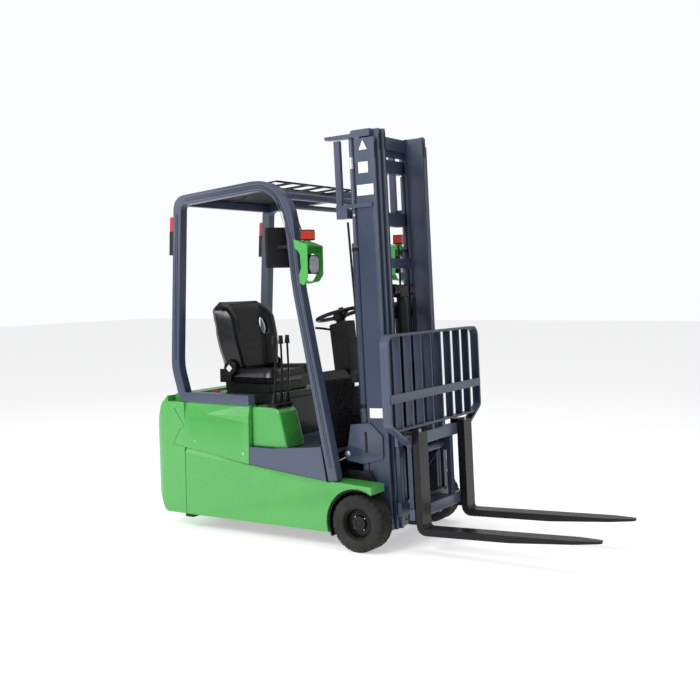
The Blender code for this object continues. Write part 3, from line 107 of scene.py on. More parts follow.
def finish(name, colour, rough, metallic=0.0, grain=0.0003, scale=600.0, spread=0.08, edge_highlight=None,
           coat=0.0, cells=0.0, dust=0.12, shine=0.5):
    """A procedural material. grain is the height of its fine bumps and scale how close they are,
    spread how far its tone wanders, edge_highlight the lighter tint painted on its sharp edges as a
    painted highlight, cells the size of a honeycomb on it, dust how much dust lies on it, shine its specular
    level."""
    made = bpy.data.materials.new(name)
    made.use_nodes = True
    nodes, links = made.node_tree.nodes, made.node_tree.links
    shader = nodes["Principled BSDF"]
    shader.inputs["Metallic"].default_value = metallic
    shader.inputs["Coat Weight"].default_value = coat
    shader.inputs["Coat Roughness"].default_value = COAT_ROUGHNESS
    shader.inputs["Specular IOR Level"].default_value = shine
    place = nodes.new("ShaderNodeTexCoord")

    def noise(size, detail=6.0):
        node = nodes.new("ShaderNodeTexNoise")
        node.inputs["Scale"].default_value = size
        node.inputs["Detail"].default_value = detail
        links.new(place.outputs["Object"], node.inputs["Vector"])
        return node.outputs["Fac"]

    def ramp(value, low, high, start=0.3, end=0.7):
        node = nodes.new("ShaderNodeMapRange")
        for key, number in (("From Min", start), ("From Max", end), ("To Min", low), ("To Max", high)):
            node.inputs[key].default_value = number
        links.new(value, node.inputs["Value"])
        return node.outputs["Result"]

    def mixed(share, first, second):
        node = nodes.new("ShaderNodeMix")
        node.data_type = "RGBA"
        links.new(share, node.inputs["Factor"])
        for socket, value in (("A", first), ("B", second)):
            socket = [s for s in node.inputs if s.name == socket and s.type == "RGBA"][0]
            if isinstance(value, tuple):
                socket.default_value = (*value, 1.0)
            else:
                links.new(value, socket)
        return [s for s in node.outputs if s.type == "RGBA"][0]

    dark = tuple(c * (1 - spread) for c in colour)
    light = tuple(min(1.0, c * (1 + spread) + spread * 0.01) for c in colour)
    tone = mixed(ramp(noise(7.0), 0.0, 1.0), dark, light)
    grey = sum(colour) / 3 * 0.5 + 0.12
    dusty = tuple(grey * tint for tint in DUST_TINT)
    tone = mixed(ramp(noise(9.0, 10.0), 0.0, dust, DUST_FROM, DUST_TO), tone, dusty)
    # sharp edges take a lighter tint of the paint: a painted highlight
    if edge_highlight:
        edge = nodes.new("ShaderNodeNewGeometry").outputs["Pointiness"]
        tone = mixed(ramp(edge, 0.0, EDGE_HIGHLIGHT_SHARE, EDGE_HIGHLIGHT_FROM, EDGE_HIGHLIGHT_TO), tone, edge_highlight)
    links.new(tone, shader.inputs["Base Color"])
    links.new(ramp(noise(35.0), rough * 0.82, min(1.0, rough * 1.2)), shader.inputs["Roughness"])
    bump = nodes.new("ShaderNodeBump")
    bump.inputs["Distance"].default_value = grain
    bump.inputs["Strength"].default_value = CELL_STRENGTH if cells else BUMP_STRENGTH
    height = noise(scale, 3.0)
    if cells:
        comb = nodes.new("ShaderNodeTexVoronoi")
        comb.inputs["Scale"].default_value = 1 / cells
        comb.inputs["Randomness"].default_value = 0.15
        links.new(place.outputs["Object"], comb.inputs["Vector"])
        height = comb.outputs["Distance"]
    links.new(height, bump.inputs["Height"])
    links.new(bump.outputs["Normal"], shader.inputs["Normal"])
    return made


# each paint's edge colour is a lighter tint of it, painted highlight on its sharp edges
GREEN = finish("green_paint", (0.044, 0.322, 0.050), 0.28, grain=0.0003, coat=0.35, spread=0.05,
               dust=0.015, edge_highlight=(0.09, 0.40, 0.09))
SLATE = finish("slate_paint", (0.027, 0.040, 0.078), 0.33, grain=0.0004, spread=0.09, coat=0.15,
               dust=0.02, shine=0.4, edge_highlight=(0.09, 0.11, 0.16))
# a lighter copy of the slate paint: painted highlight on the guard's ridges and the mast flanges' outer edges
SLATE_HIGHLIGHT = finish("slate_painted_highlight", (0.13, 0.155, 0.21), 0.40, grain=0.0004)
BLACK = finish("black_paint", (0.004, 0.004, 0.005), 0.26, grain=0.0004, spread=0.2, dust=0.01,
               shine=0.22, edge_highlight=(0.02, 0.02, 0.022))
PLASTIC = finish("black_plastic", (0.005, 0.005, 0.0065), 0.36, grain=0.0006, scale=900, spread=0.15,
                 dust=0.01, shine=0.25)
ROOF = finish("roof_paint", (0.008, 0.009, 0.012), 0.62, grain=0.0003, spread=0.12, dust=0.02, shine=0.15)
# near-black for panel seams and ear slots, and for painted shade in the guard's grooves and between the mast
# flanges
SEAM_AND_SHADE = finish("seams_and_painted_shade", (0.004, 0.004, 0.005), 0.8, grain=0.0004)
VINYL = finish("seat_vinyl", (0.004, 0.0045, 0.006), 0.28, grain=0.0008, scale=550, spread=0.2,
               dust=0.01, shine=0.35)
RUBBER = finish("tyre_rubber", (0.022, 0.021, 0.017), 0.80, grain=0.0012, scale=400, spread=0.18,
                shine=0.25)
HOSE = finish("hose_rubber", (0.007, 0.007, 0.008), 0.50, grain=0.0006, spread=0.2, dust=0.02, shine=0.25)
CHROME = finish("chromed_rod", (0.72, 0.72, 0.74), 0.14, 1.0, grain=0.0001, spread=0.04, dust=0.04)
ZINC = finish("zinc_plate", (0.62, 0.62, 0.60), 0.32, 0.9, grain=0.0003, spread=0.1)
CHAIN = finish("oiled_chain", (0.045, 0.043, 0.040), 0.45, 0.7, grain=0.0008, spread=0.25)
CASE = finish("battery_case", (0.03, 0.03, 0.034), 0.55, grain=0.0006)
WHITE = finish("white_plate", (0.80, 0.80, 0.78), 0.42, grain=0.0002, spread=0.03, dust=0.06)
RED = finish("red_plastic", (0.36, 0.014, 0.008), 0.28, grain=0.0003, coat=0.1, dust=0.02, shine=0.3)
ORANGE = finish("orange_lens", (0.62, 0.10, 0.012), 0.22, grain=0.0004, coat=0.5, dust=0.02, cells=0.006)
LENS = finish("lamp_lens", (0.50, 0.52, 0.54), 0.16, 0.3, coat=0.8, grain=0.004, cells=0.011, dust=0.02)
GLASS = finish("mirror_glass", (0.55, 0.57, 0.60), 0.05, 1.0, grain=0.0001, spread=0.03, dust=0.03)
FLOOR = finish("pale_floor", (0.80, 0.80, 0.80), 0.75, grain=0.0003, spread=0.01, dust=0.02)

FINISHES = {
    "green_paint": GREEN, "slate_paint": SLATE, "black_paint": BLACK, "battery_case": CASE,
    "tyre_rubber": RUBBER, "seat_vinyl": VINYL, "black_plastic": PLASTIC, "chromed_rod": CHROME,
    "lamp_body": RED,
}
FLOOR_GLOW = 0.46            # keeps the floor as pale as the background
floor_shader = FLOOR.node_tree.nodes["Principled BSDF"]
floor_shader.inputs["Emission Color"].default_value = (1.0, 1.0, 1.0, 1.0)
floor_shader.inputs["Emission Strength"].default_value = FLOOR_GLOW


# ---------------------------------------------------------------- building pieces
SHARP_ANGLE = math.radians(38)
BEVEL_ANGLE = math.radians(40)


class Piece:
    """A mesh put together from simple solids, which then rides a body."""

    def __init__(self, name, look, body, place=on_truck):
        self.name, self.look, self.body, self.place = name, look, body, place
        self.bm = bmesh.new()

    def _put(self, made, matrix):
        bmesh.ops.transform(self.bm, verts=made["verts"], matrix=matrix)
        for vert in made["verts"]:
            vert.co = self.place(vert.co)
        return self

    def block(self, x, y, z, turn=None):
        size = [high - low for low, high in (x, y, z)]
        middle = Matrix.Translation([(high + low) / 2 for low, high in (x, y, z)])
        turn = turn.to_4x4() if turn else Matrix.Identity(4)
        made = bmesh.ops.create_cube(self.bm, size=1.0)
        return self._put(made, middle @ turn @ Matrix.Diagonal((*size, 1)))

    def rod(self, start, end, radius, sides=20, radius_end=None):
        start, end = Vector(start), Vector(end)
        turn = (end - start).to_track_quat("Z", "Y").to_matrix().to_4x4()
        made = bmesh.ops.create_cone(self.bm, cap_ends=True, segments=sides, radius1=radius,
                                     radius2=radius if radius_end is None else radius_end,
                                     depth=(end - start).length)
        return self._put(made, Matrix.Translation((start + end) / 2) @ turn)

    def bolt(self, at, way, radius=0.009, height=0.007):
        """A hexagon head on a washer, with the end of its screw."""
        at, way = Vector(at), Vector(way).normalized()
        washer, head, screw = (at + way * height * share for share in (0.3, 1, 1.25))
        self.rod(at, washer, radius * 1.5)
        self.rod(washer, head, radius, 6)
        return self.rod(head, screw, radius * 0.55, 10)

    def pipe(self, points, radius, sides=8, steps=4):
        """A bar along points, curved between them in a number of steps."""
        points = [Vector(p) for p in points]
        line = []
        for i in range(len(points) - 1):
            a, b = points[max(0, i - 1)], points[i]
            c, d = points[i + 1], points[min(len(points) - 1, i + 2)]
            for k in range(steps):
                t = k / steps
                line.append(0.5 * ((2 * b) + (c - a) * t + (2 * a - 5 * b + 4 * c - d) * t * t
                                   + (3 * b - a - 3 * c + d) * t ** 3))
        line.append(points[-1])
        rings, across = [], None
        for i, here in enumerate(line):
            along = (line[min(i + 1, len(line) - 1)] - line[max(i - 1, 0)]).normalized()
            across = along.orthogonal() if across is None else across - along * across.dot(along)
            across.normalize()
            other = along.cross(across)
            turns = [2 * math.pi * k / sides for k in range(sides)]
            rings.append([self.bm.verts.new(self.place(
                here + radius * (across * math.cos(turn) + other * math.sin(turn)))) for turn in turns])
        for first, second in zip(rings, rings[1:]):
            for k in range(sides):
                self.bm.faces.new((first[k - 1], first[k], second[k], second[k - 1]))
        self.bm.faces.new(rings[0])
        self.bm.faces.new(rings[-1][::-1])
        return self

    def sheet(self, outline, axis, low, high):
        """A flat outline of points, thickened from low to high along an axis of the layout."""
        def lifted(point, depth):
            point = list(point)
            point.insert("xyz".index(axis), depth)
            return self.bm.verts.new(self.place(point))
        first = [lifted(p, low) for p in outline]
        second = [lifted(p, high) for p in outline]
        self.bm.faces.new(first)
        self.bm.faces.new(second[::-1])
        for k in range(len(outline)):
            self.bm.faces.new((first[k - 1], first[k], second[k], second[k - 1]))
        return self

    def grid(self, rows):
        """A skin over rows of points, closed round each row. Its two ends stay open."""
        rows = [[self.bm.verts.new(self.place(p)) for p in row] for row in rows]
        for first, second in zip(rows, rows[1:]):
            for k in range(len(first)):
                self.bm.faces.new((first[k - 1], first[k], second[k], second[k - 1]))
        return self

    def done(self, bevel=0.0, ride=True):
        bmesh.ops.recalc_face_normals(self.bm, faces=self.bm.faces)
        mesh = bpy.data.meshes.new(self.name)
        self.bm.to_mesh(mesh)
        self.bm.free()
        mesh.materials.append(self.look)
        mesh.shade_smooth()
        mesh.set_sharp_from_angle(angle=SHARP_ANGLE)
        obj = bpy.data.objects.new(self.name, mesh)
        bpy.context.scene.collection.objects.link(obj)
        if bevel:
            edges = obj.modifiers.new("edges", "BEVEL")
            edges.width, edges.segments, edges.limit_method = bevel, 2, "ANGLE"
            edges.angle_limit = BEVEL_ANGLE
        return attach(obj, self.body) if ride else obj


# ---------------------------------------------------------------- finishes of the CAD nodes
for part in frame["record"]["subparts"]:
    obj = frame["nodes"][part["node"]]
    obj.data.materials.clear()
    obj.data.materials.append(FINISHES[part["material_slot"]])
for name in ("lift_rod_left", "lift_rod_right"):
    frame["nodes"][name].data.materials[0] = SLATE
frame["nodes"]["roof_grille"].data.materials[0] = ROOF


# ---------------------------------------------------------------- tyres and wheels
STEPS_PER_LUG = 6
SHOULDER_LEAN = 0.10         # how far the lugs sweep round from the middle to a side, in radians


def tyre(name, node, body, lugs, groove, band):
    """A solid tyre in place of the CAD node: lugs cut into its shoulders on both sides, finer cuts
    and grooves round its face. band is the thickness of its rubber."""
    low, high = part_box(node)
    centre, half = (low + high) / 2, (high.y - low.y) / 2
    outer = (high.z - low.z) / 2
    bore = outer - band
    # from the bore up the wall and over to the middle: radius, share of the half width
    profile = [(bore, 0.84), (bore + 0.006, 0.95), (bore + band * 0.35, 1.0), (outer - 0.030, 1.0),
               (outer - 0.014, 0.975), (outer - 0.004, 0.90), (outer, 0.80), (outer, 0.52), (outer, 0.47),
               (outer, 0.06), (outer, 0.02)]
    sides = [(r, w, 1) for r, w in profile] + [(r, w, -1) for r, w in profile[::-1]]
    rows = []
    for i in range(lugs * STEPS_PER_LUG):
        angle = 2 * math.pi * i / (lugs * STEPS_PER_LUG)
        row = []
        for r, w, way in sides:
            turn = angle + w * way * SHOULDER_LEAN
            stagger = STEPS_PER_LUG // 2 if way < 0 else 0
            if r > outer - 0.016 and w > 0.50 and (i + stagger) % STEPS_PER_LUG == 0:
                r -= groove
            if r > outer - 0.002 and 0.04 < w < 0.50 and (i + 2) % (2 * STEPS_PER_LUG) == 0:
                r -= groove * 0.6
            if w == 0.47 or w < 0.04:
                r -= groove * 0.55
            row.append((r * math.cos(turn), w * way * half, r * math.sin(turn)))
        rows.append(row)
    piece = Piece(name, RUBBER, body, place=around(centre))
    columns = [list(column) for column in zip(*rows)]
    piece.grid(columns + columns[:1])
    bmesh.ops.remove_doubles(piece.bm, verts=piece.bm.verts, dist=1e-6)
    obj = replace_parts(piece.done(), node)
    return obj


RIM_FACE, CAP_FACE, HUB_END = 0.4505, 0.4545, 0.470     # distances from the truck's middle
CAP_RADIUS, HUB_RADIUS, HUB_END_RADIUS = 0.060, 0.024, 0.019
for word, side in WORDS.items():
    tyre("front_tread_" + word, "front_tyre_" + word, "front_wheel_" + word, 26, 0.006, 0.072)
    tyre("rear_tread_" + word, "rear_tyre_" + word, "rear_wheels", 24, 0.005, 0.064)
    low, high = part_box("front_rim_" + word)
    axle = Vector(((low.x + high.x) / 2, 0, (low.z + high.z) / 2))
    wheel = Piece("wheel_bolts_" + word, ZINC, "front_wheel_" + word, place=around(axle))
    for k in range(4):
        angle = math.radians(40 + 90 * k)
        at = (0.041 * math.cos(angle), side * CAP_FACE, 0.043 * math.sin(angle))
        wheel.bolt(at, (0, side, 0), 0.0055, 0.009)
    wheel.done()
    cap = Piece("wheel_cap_" + word, BLACK, "front_wheel_" + word, place=around(axle))
    cap.rod((0, side * RIM_FACE, 0), (0, side * CAP_FACE, 0), CAP_RADIUS, 32)
    cap.rod((0, side * CAP_FACE, 0), (0, side * HUB_END, 0), HUB_RADIUS, 24, HUB_END_RADIUS)
    cap.done()


# ---------------------------------------------------------------- seat
SEAT_COLUMNS, BACK_ROWS, CUSHION_ROWS = 34, 40, 30


def seat_piece(name, outline, front, rear, width):
    """Upholstery along an outline of (centre, normal) rows. Each row goes across the front and
    back again behind; front and rear give its depth there, for u from -1 to 1 across, v from 0 to 1
    along the outline."""
    piece = Piece(name, VINYL, "seat", place=in_frame)
    shares = [-1 + 2 * k / (SEAT_COLUMNS - 1) for k in range(SEAT_COLUMNS)]
    rows = []
    for row, (centre, normal) in enumerate(outline):
        v = row / (len(outline) - 1)
        reach = width(v)
        points = [(u, front(u, v)) for u in shares] + [(u, -rear(u, v)) for u in shares[::-1]]
        rows.append([centre + normal * depth + Vector((0, u * reach, 0)) for u, depth in points])
    piece.grid(rows)
    verts = list(piece.bm.verts)
    piece.bm.faces.new(verts[:SEAT_COLUMNS * 2])
    piece.bm.faces.new(verts[-SEAT_COLUMNS * 2:][::-1])
    return piece.done(ride=False)


def smooth(t):
    """0 to 1 with soft ends."""
    t = min(1.0, max(0.0, t))
    return t * t * (3 - 2 * t)


BACK_LOW, BACK_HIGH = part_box("seat_back")
CUSHION_LOW, CUSHION_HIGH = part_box("seat_cushion")
BACK_LEAN = math.radians(10.5)              # the CAD back's own lean
BACK_UP = Vector((-math.sin(BACK_LEAN), 0, math.cos(BACK_LEAN)))
BACK_AHEAD = Vector((math.cos(BACK_LEAN), 0, math.sin(BACK_LEAN)))
BACK_FOOT = Vector((BACK_LOW.x + 0.150, 0, BACK_LOW.z + 0.006))
BACK_LENGTH = (BACK_HIGH.z - BACK_LOW.z) / math.cos(BACK_LEAN) + 0.012
GRAB_ROW, GRAB_AHEAD, GRAB_Y = 25, 0.012, 0.190     # the grab holes' place along and off the outline
GRAB_TURN, GRAB_TILT = math.radians(48), math.radians(9)
GRAB_HALF_WIDTH, GRAB_HALF_HEIGHT = 0.020, 0.058


def back_front(u, v):
    bolster = 0.050 * smooth((abs(u) - 0.52) / 0.18) * smooth((0.97 - v) / 0.25) * smooth(v / 0.10 + 0.3)
    groove = 0.006 * math.exp(-((abs(u) - 0.56) / 0.035) ** 2) * (v < 0.93)
    ribs = 0.0022 * (1 - abs(math.sin(v * 9 * math.pi))) * (abs(u) < 0.5) * (0.12 < v < 0.9)
    edge = smooth((1.0 - abs(u)) / 0.16) ** 0.5
    top = smooth((1.0 - v) / 0.13) ** 0.5 * smooth(v / 0.04 + 0.05) ** 0.5
    return (0.048 + bolster - groove - ribs + 0.010 * math.sin(v * math.pi)) * edge * top


def back_rear(u, v):
    edge = smooth((1.0 - abs(u)) / 0.16) ** 0.5
    top = smooth((1.0 - v) / 0.08) ** 0.5 * smooth(v / 0.05 + 0.05) ** 0.5
    return (0.040 + 0.018 * (1 - u * u)) * edge * top


def back_width(v):
    half = (BACK_HIGH.y - BACK_LOW.y) / 2
    return half * (0.94 + 0.17 * smooth(v / 0.5)) * (1 - 0.30 * smooth((v - 0.84) / 0.20) ** 1.8)


outline = [(BACK_FOOT + BACK_UP * (row / (BACK_ROWS - 1) * BACK_LENGTH), BACK_AHEAD)
           for row in range(BACK_ROWS)]
back = seat_piece("seat_back_upholstery", outline, back_front, back_rear, back_width)
cutter = Piece("hole", VINYL, "seat", place=in_frame)
for side in WORDS.values():
    at = outline[GRAB_ROW][0] + Vector((GRAB_AHEAD, side * GRAB_Y, 0))
    turn = Matrix.Rotation(-BACK_LEAN, 4, "Y") @ Matrix.Rotation(side * GRAB_TILT, 4, "X")
    turn = turn @ Matrix.Rotation(-side * GRAB_TURN, 4, "Z")
    oval = Matrix.Diagonal((1, GRAB_HALF_WIDTH, GRAB_HALF_HEIGHT, 1))
    made = bmesh.ops.create_cone(cutter.bm, cap_ends=True, segments=28, radius1=1, radius2=1, depth=0.4)
    bmesh.ops.transform(cutter.bm, verts=made["verts"], matrix=Matrix.Translation(at) @ turn @ oval
                        @ Matrix.Rotation(math.radians(90), 4, "Y"))
cutter = cutter.done(ride=False)
hole = back.modifiers.new("holes", "BOOLEAN")
hole.operation, hole.object = "DIFFERENCE", cutter
graph = bpy.context.evaluated_depsgraph_get()
holed = bpy.data.meshes.new_from_object(back.evaluated_get(graph))
back.modifiers.clear()
back.data = holed
bpy.data.objects.remove(cutter)
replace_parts(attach(back, "seat"), "seat_back")


def cushion_top(u, v):
    bolster = 0.022 * smooth((abs(u) - 0.55) / 0.2)
    groove = 0.006 * math.exp(-((abs(u) - 0.60) / 0.035) ** 2)
    ribs = 0.002 * (1 - abs(math.sin(v * 8 * math.pi))) * (abs(u) < 0.55)
    edge = smooth((1.0 - abs(u)) / 0.10) ** 0.5
    ends = smooth((1.0 - v) / 0.07) ** 0.5 * smooth(v / 0.04 + 0.1) ** 0.5
    return (0.026 + bolster - groove - ribs + 0.014 * v) * edge * ends


def cushion_foot(u, v):
    return 0.036 * smooth((1.0 - abs(u)) / 0.05) ** 0.5 * smooth((1.0 - v) / 0.06 + 0.2) ** 0.5


def cushion_width(v):
    return (CUSHION_HIGH.y - CUSHION_LOW.y) / 2 * (1 - 0.10 * smooth((v - 0.8) / 0.25))


CUSHION_REAR = CUSHION_LOW.x - 0.045        # it starts under the back
CUSHION_MIDDLE = CUSHION_LOW.z + 0.037      # height of the seam between its top and its foot
outline = [(Vector((CUSHION_REAR + (CUSHION_HIGH.x - CUSHION_REAR) * row / (CUSHION_ROWS - 1), 0,
                    CUSHION_MIDDLE)), Vector((0, 0, 1))) for row in range(CUSHION_ROWS)]
cushion = seat_piece("seat_cushion_upholstery", outline, cushion_top, cushion_foot, cushion_width)
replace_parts(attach(cushion, "seat"), "seat_cushion")

HINGE_X, HINGE_Z = -1.075, 0.995
covers = Piece("seat_hinge_covers", PLASTIC, "seat")
for side in WORDS.values():
    covers.rod((HINGE_X, side * 0.236, HINGE_Z), (HINGE_X, side * 0.254, HINGE_Z), 0.052, 24, 0.044)
    covers.block((HINGE_X - 0.080, HINGE_X + 0.010), on_side(side, 0.238, 0.250), (0.905, 0.99))
covers.done(0.003)
Piece("seat_tag", WHITE, "seat").block((-1.092, -1.058), (-0.2560, -0.2545), (0.978, 1.012),
                                       Matrix.Rotation(math.radians(45), 3, "Y")).done()

# ---------------------------------------------------------------- body
HOOD_TOP = 0.8402            # just above the CAD hood
KNOB_X, KNOB_Y = -1.085, -0.370
knob = Piece("isolator_knob", RED, "hood")
knob.rod((KNOB_X, KNOB_Y, HOOD_TOP - 0.0002), (KNOB_X, KNOB_Y, HOOD_TOP + 0.0158), 0.018, 20, 0.015)
knob.block((KNOB_X - 0.021, KNOB_X + 0.021), (KNOB_Y - 0.005, KNOB_Y + 0.005),
           (HOOD_TOP + 0.0138, HOOD_TOP + 0.0258))
knob.done(0.002)
deck = Piece("hood_deck", BLACK, "hood")
for side in WORDS.values():
    deck.block((-1.20, -0.757), on_side(side, 0.212, 0.414), (HOOD_TOP, HOOD_TOP + 0.0023))
deck.block((-0.7553, -0.7535), (-0.417, 0.417), (0.802, HOOD_TOP - 0.0007))
deck.done(0.0008)

COVER_FACE, PANEL_FACE = 0.487, 0.5004      # the CAD cover's face; the face it runs out to at its rear
SLOPE_FOOT, SLOPE_RUN = 0.695, 0.020        # where the cover starts to lean in, and by how much
FOOT_REAR, FOOT_FRONT, FOOT_LEVEL_FROM = 0.5172, 0.4461, 0.94
LAP, LIFT = 0.004, 0.0003                   # over the counterweight's edge; off the CAD cover's face
SKIN_COLUMNS = 13
for word, side in WORDS.items():
    low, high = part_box("side_cover_" + word)
    rear, front = low.x - AXLE_X, high.x - AXLE_X
    skin = Piece("cover_skin_" + word, GREEN, "chassis")
    rows = []
    for k in range(SKIN_COLUMNS):
        x = rear - LAP + (front - rear) * k / (SKIN_COLUMNS - 1)
        share = max(0.0, (x - rear) / (front - rear))
        out = PANEL_FACE + (COVER_FACE + 3 * LIFT - PANEL_FACE) * share ** 0.7
        foot = FOOT_REAR + (FOOT_FRONT - FOOT_REAR) * min(1.0, share / FOOT_LEVEL_FROM) + 0.0022
        inner = COVER_FACE + LIFT
        rows.append([(x, side * y, z) for y, z in (
            (inner, foot), (out, foot), (out, SLOPE_FOOT - 0.02), (out - 0.0009, SLOPE_FOOT),
            (out - SLOPE_RUN, high.z), (inner - SLOPE_RUN + 0.0005, high.z), (inner, SLOPE_FOOT))])
    skin.grid(rows)
    verts = list(skin.bm.verts)
    skin.bm.faces.new(verts[:len(rows[0])])
    skin.bm.faces.new(verts[-len(rows[0]):])
    skin.done()

seams = Piece("panel_seams", SEAM_AND_SHADE, "chassis")
for word, side in WORDS.items():
    low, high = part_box("side_panel_" + word)
    seams.block((-1.2470, -1.2435), on_side(side, 0.4998, 0.5004), (low.z + 0.004, 0.512))
    seams.pipe([(-1.325, side * 0.500, 0.759), (-1.243, side * 0.4992, 0.646),
                (-1.286, side * 0.5002, 0.624)], 0.0016, 6, 1)
    seams.pipe([(-1.286, side * 0.5002, 0.624), (-1.338, side * 0.500, 0.534),
                (-1.245, side * 0.4990, 0.518)], 0.0012, 6, 1)
seams.done()
fixings = Piece("cover_bolts", ZINC, "chassis")
for side in WORDS.values():
    fixings.bolt((-0.800, side * 0.4878, 0.505), (0, side, 0), 0.005, 0.004)
    fixings.bolt((-1.165, side * 0.4968, 0.560), (0, side, 0), 0.004, 0.003)
fixings.done()
plates = Piece("rear_plate", WHITE, "chassis")
plates.block((-1.5255, -1.524), (-0.11, 0.11), (0.60, 0.66))
plates.done()

# ---------------------------------------------------------------- controls
LEVER_X, LEVER_FOOT, LEVER_YS = -0.597, 0.790, (-0.428, -0.362, -0.296)
FOLDS, FOLD = 4, 0.012
boots = Piece("lever_boots", HOSE, "chassis")
for y in LEVER_YS:
    for k in range(FOLDS):
        radius, z = 0.030 - 0.005 * k, LEVER_FOOT + FOLD * k
        boots.rod((LEVER_X, y, z), (LEVER_X, y, z + FOLD), radius, 18, radius - 0.006)
boots.done()

# ---------------------------------------------------------------- lamps and mirror
OCTAGON = ((0.6, 1), (1, 0.6), (1, -0.6), (0.6, -1), (-0.6, -1), (-1, -0.6), (-1, 0.6), (-0.6, 1))
LAMP_X, LAMP_Y, LAMP_Z, LAMP_HALF = -0.246, 0.5085, 1.6285, 0.050
STUD_ROWS, STUD_Y, STUD_Z = range(-4, 5), 0.0105, 0.0092     # the lens's pattern and its pitches
INDICATOR_X, INDICATOR_Z = (-0.2928, -0.2398), (1.7695, 1.8165)
REAR_LAMP_DARK, REAR_LAMP_DEPTH = 0.62, 0.029                # the dark foot's share of the height
for word, side in WORDS.items():
    lens = Piece("work_lamp_lens_" + word, LENS, "chassis")
    middle = side * LAMP_Y
    lens.sheet([(middle + LAMP_HALF * u, LAMP_Z + LAMP_HALF * v) for u, v in OCTAGON], "x",
               LAMP_X, LAMP_X + 0.004)
    for row in STUD_ROWS:
        for column in STUD_ROWS:
            y, z = STUD_Y * (column + 0.5 * (row % 2)), STUD_Z * row
            if max(abs(y), abs(z)) < 0.043 and abs(y) + abs(z) < 0.064:
                lens.rod((LAMP_X + 0.003, middle + y, LAMP_Z + z),
                         (LAMP_X + 0.0062, middle + y, LAMP_Z + z), 0.0048, 6, 0.0030)
    lens.done()
    ring = Piece("work_lamp_ring_" + word, PLASTIC, "chassis")
    corners = [(LAMP_X + 0.004, middle + (LAMP_HALF + 0.001) * u, LAMP_Z + (LAMP_HALF + 0.001) * v)
               for u, v in OCTAGON]
    for first, second in zip(corners, corners[1:] + corners[:1]):
        ring.pipe([first, second], 0.0026, 6, 1)
    ring.done()
    lamp = Piece("indicator_front_" + word, ORANGE, "chassis")
    lamp.block((-0.2396, -0.2376), on_side(side, 0.5008, 0.5592), INDICATOR_Z)
    lamp.done(0.0006)
    lamp = Piece("indicator_side_" + word, RED, "chassis")
    lamp.block(INDICATOR_X, on_side(side, 0.5596, 0.5616), INDICATOR_Z)
    lamp.block(INDICATOR_X, on_side(side, 0.5004, 0.4984), INDICATOR_Z)
    lamp.done(0.0006)
    dark = Piece("work_lamp_body_" + word, PLASTIC, "chassis")
    dark.block((-0.2905, -0.2458), on_side(side, 0.4545, 0.5625), (1.5745, 1.6825))
    dark.block((-0.3028, -0.2386), on_side(side, 0.4988, 0.5612), (1.7635, 1.7695))
    dark.block((-0.3028, -0.2930), on_side(side, 0.4992, 0.5608), (1.766, 1.8225))
    dark.block((-0.3022, -0.2388), on_side(side, 0.4992, 0.5608), (1.8165, 1.8228))
    dark.done(0.005)
    low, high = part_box("rear_lamp_" + word)
    cut_z = low.z + (high.z - low.z) * REAR_LAMP_DARK
    slope = (high.x - low.x - REAR_LAMP_DEPTH - 0.001) / (high.z - low.z)
    shift = slope * (cut_z - low.z)
    rear, front = low.x - SKIN, low.x + REAR_LAMP_DEPTH
    dark = Piece("rear_lamp_body_" + word, PLASTIC, "chassis", place=in_frame)
    dark.sheet([(rear, low.z), (front, low.z), (front + shift, cut_z), (rear + shift, cut_z)], "y",
               low.y - SKIN, high.y + SKIN)
    dark.done()

MIRROR_PLACE, MIRROR_TURN = (-0.535, -0.440, 0), Matrix.Rotation(math.radians(-43), 3, "Z")
glass = Piece("mirror_glass", GLASS, "chassis",
              place=lambda p: on_truck(Vector(MIRROR_PLACE) + MIRROR_TURN @ Vector(p)))
glass.block((-0.0135, -0.0122), (-0.070, 0.070), (1.627, 1.838))
glass.done()

# ---------------------------------------------------------------- overhead guard
GUARD_FACE = 0.4875
GROOVE_RADIUS = 0.0013
GROOVES, RIDGES = (-0.006, 0.006), (-0.017, 0.017)       # shifts from a post's middle line
# the ridges are drawn as light lines, painted highlights, and the grooves as dark lines, painted shade
for name, look, shifts in (("guard_ridge_highlights", SLATE_HIGHLIGHT, RIDGES), ("guard_groove_shade", SEAM_AND_SHADE, GROOVES)):
    lines = Piece(name, look, "chassis")
    for side in WORDS.values():
        face = side * (GUARD_FACE + SKIN)
        for shift in shifts:
            lines.pipe([(-1.311 + shift, face, 1.06), (-1.266 + shift, face, 1.96)], GROOVE_RADIUS, 4, 1)
            lines.pipe([(-1.20, face, 2.044 + shift), (-0.72, face, 2.086 + shift)], GROOVE_RADIUS, 4, 1)
            lines.pipe([(-0.415 + shift, face, 1.78), (-0.388 + shift, face, 1.52),
                        (-0.297 + shift, face, 1.09), (-0.170 + shift, face, 0.47)], GROOVE_RADIUS, 4, 3)
            lines.pipe([(-0.72, face, 2.086 + shift), (-0.60 + shift * 0.4, face, 2.082 + shift * 0.9),
                        (-0.50 + shift * 0.8, face, 2.005 + shift * 0.6), (-0.415 + shift, face, 1.78)],
                       GROOVE_RADIUS, 4, 6)
    lines.done()
WIRE_RADIUS = 0.004
wires = Piece("guard_wires", HOSE, "chassis")
for side in WORDS.values():
    wires.pipe([(-0.44, side * 0.452, 1.99), (-0.36, side * 0.46, 1.83), (-0.31, side * 0.48, 1.70)],
               WIRE_RADIUS)
wires.pipe([(-0.90, -0.43, 2.028), (-0.84, -0.425, 2.020), (-0.77, -0.43, 2.042)], WIRE_RADIUS)
wires.done()

# ---------------------------------------------------------------- mast
RAIL_FACE = 0.3200
EAR_FACE = 0.3310            # outer face of the plates that the tilt rods pull on
STAGES = (("outer_mast", 0.1285, 0.2935, 0.3195, 2.330), ("middle_mast", 0.1405, 0.2575, 0.2835, 2.378),
          ("inner_mast", 0.1525, 0.2215, 0.2475, 2.378))     # flange: front, its two edges, top
STAGE_FOOT = 0.14
CYLINDER_X, CYLINDER_Y = -0.032, 0.293
HOSE_RADIUS = 0.007
CHAIN_PITCH = 0.0159

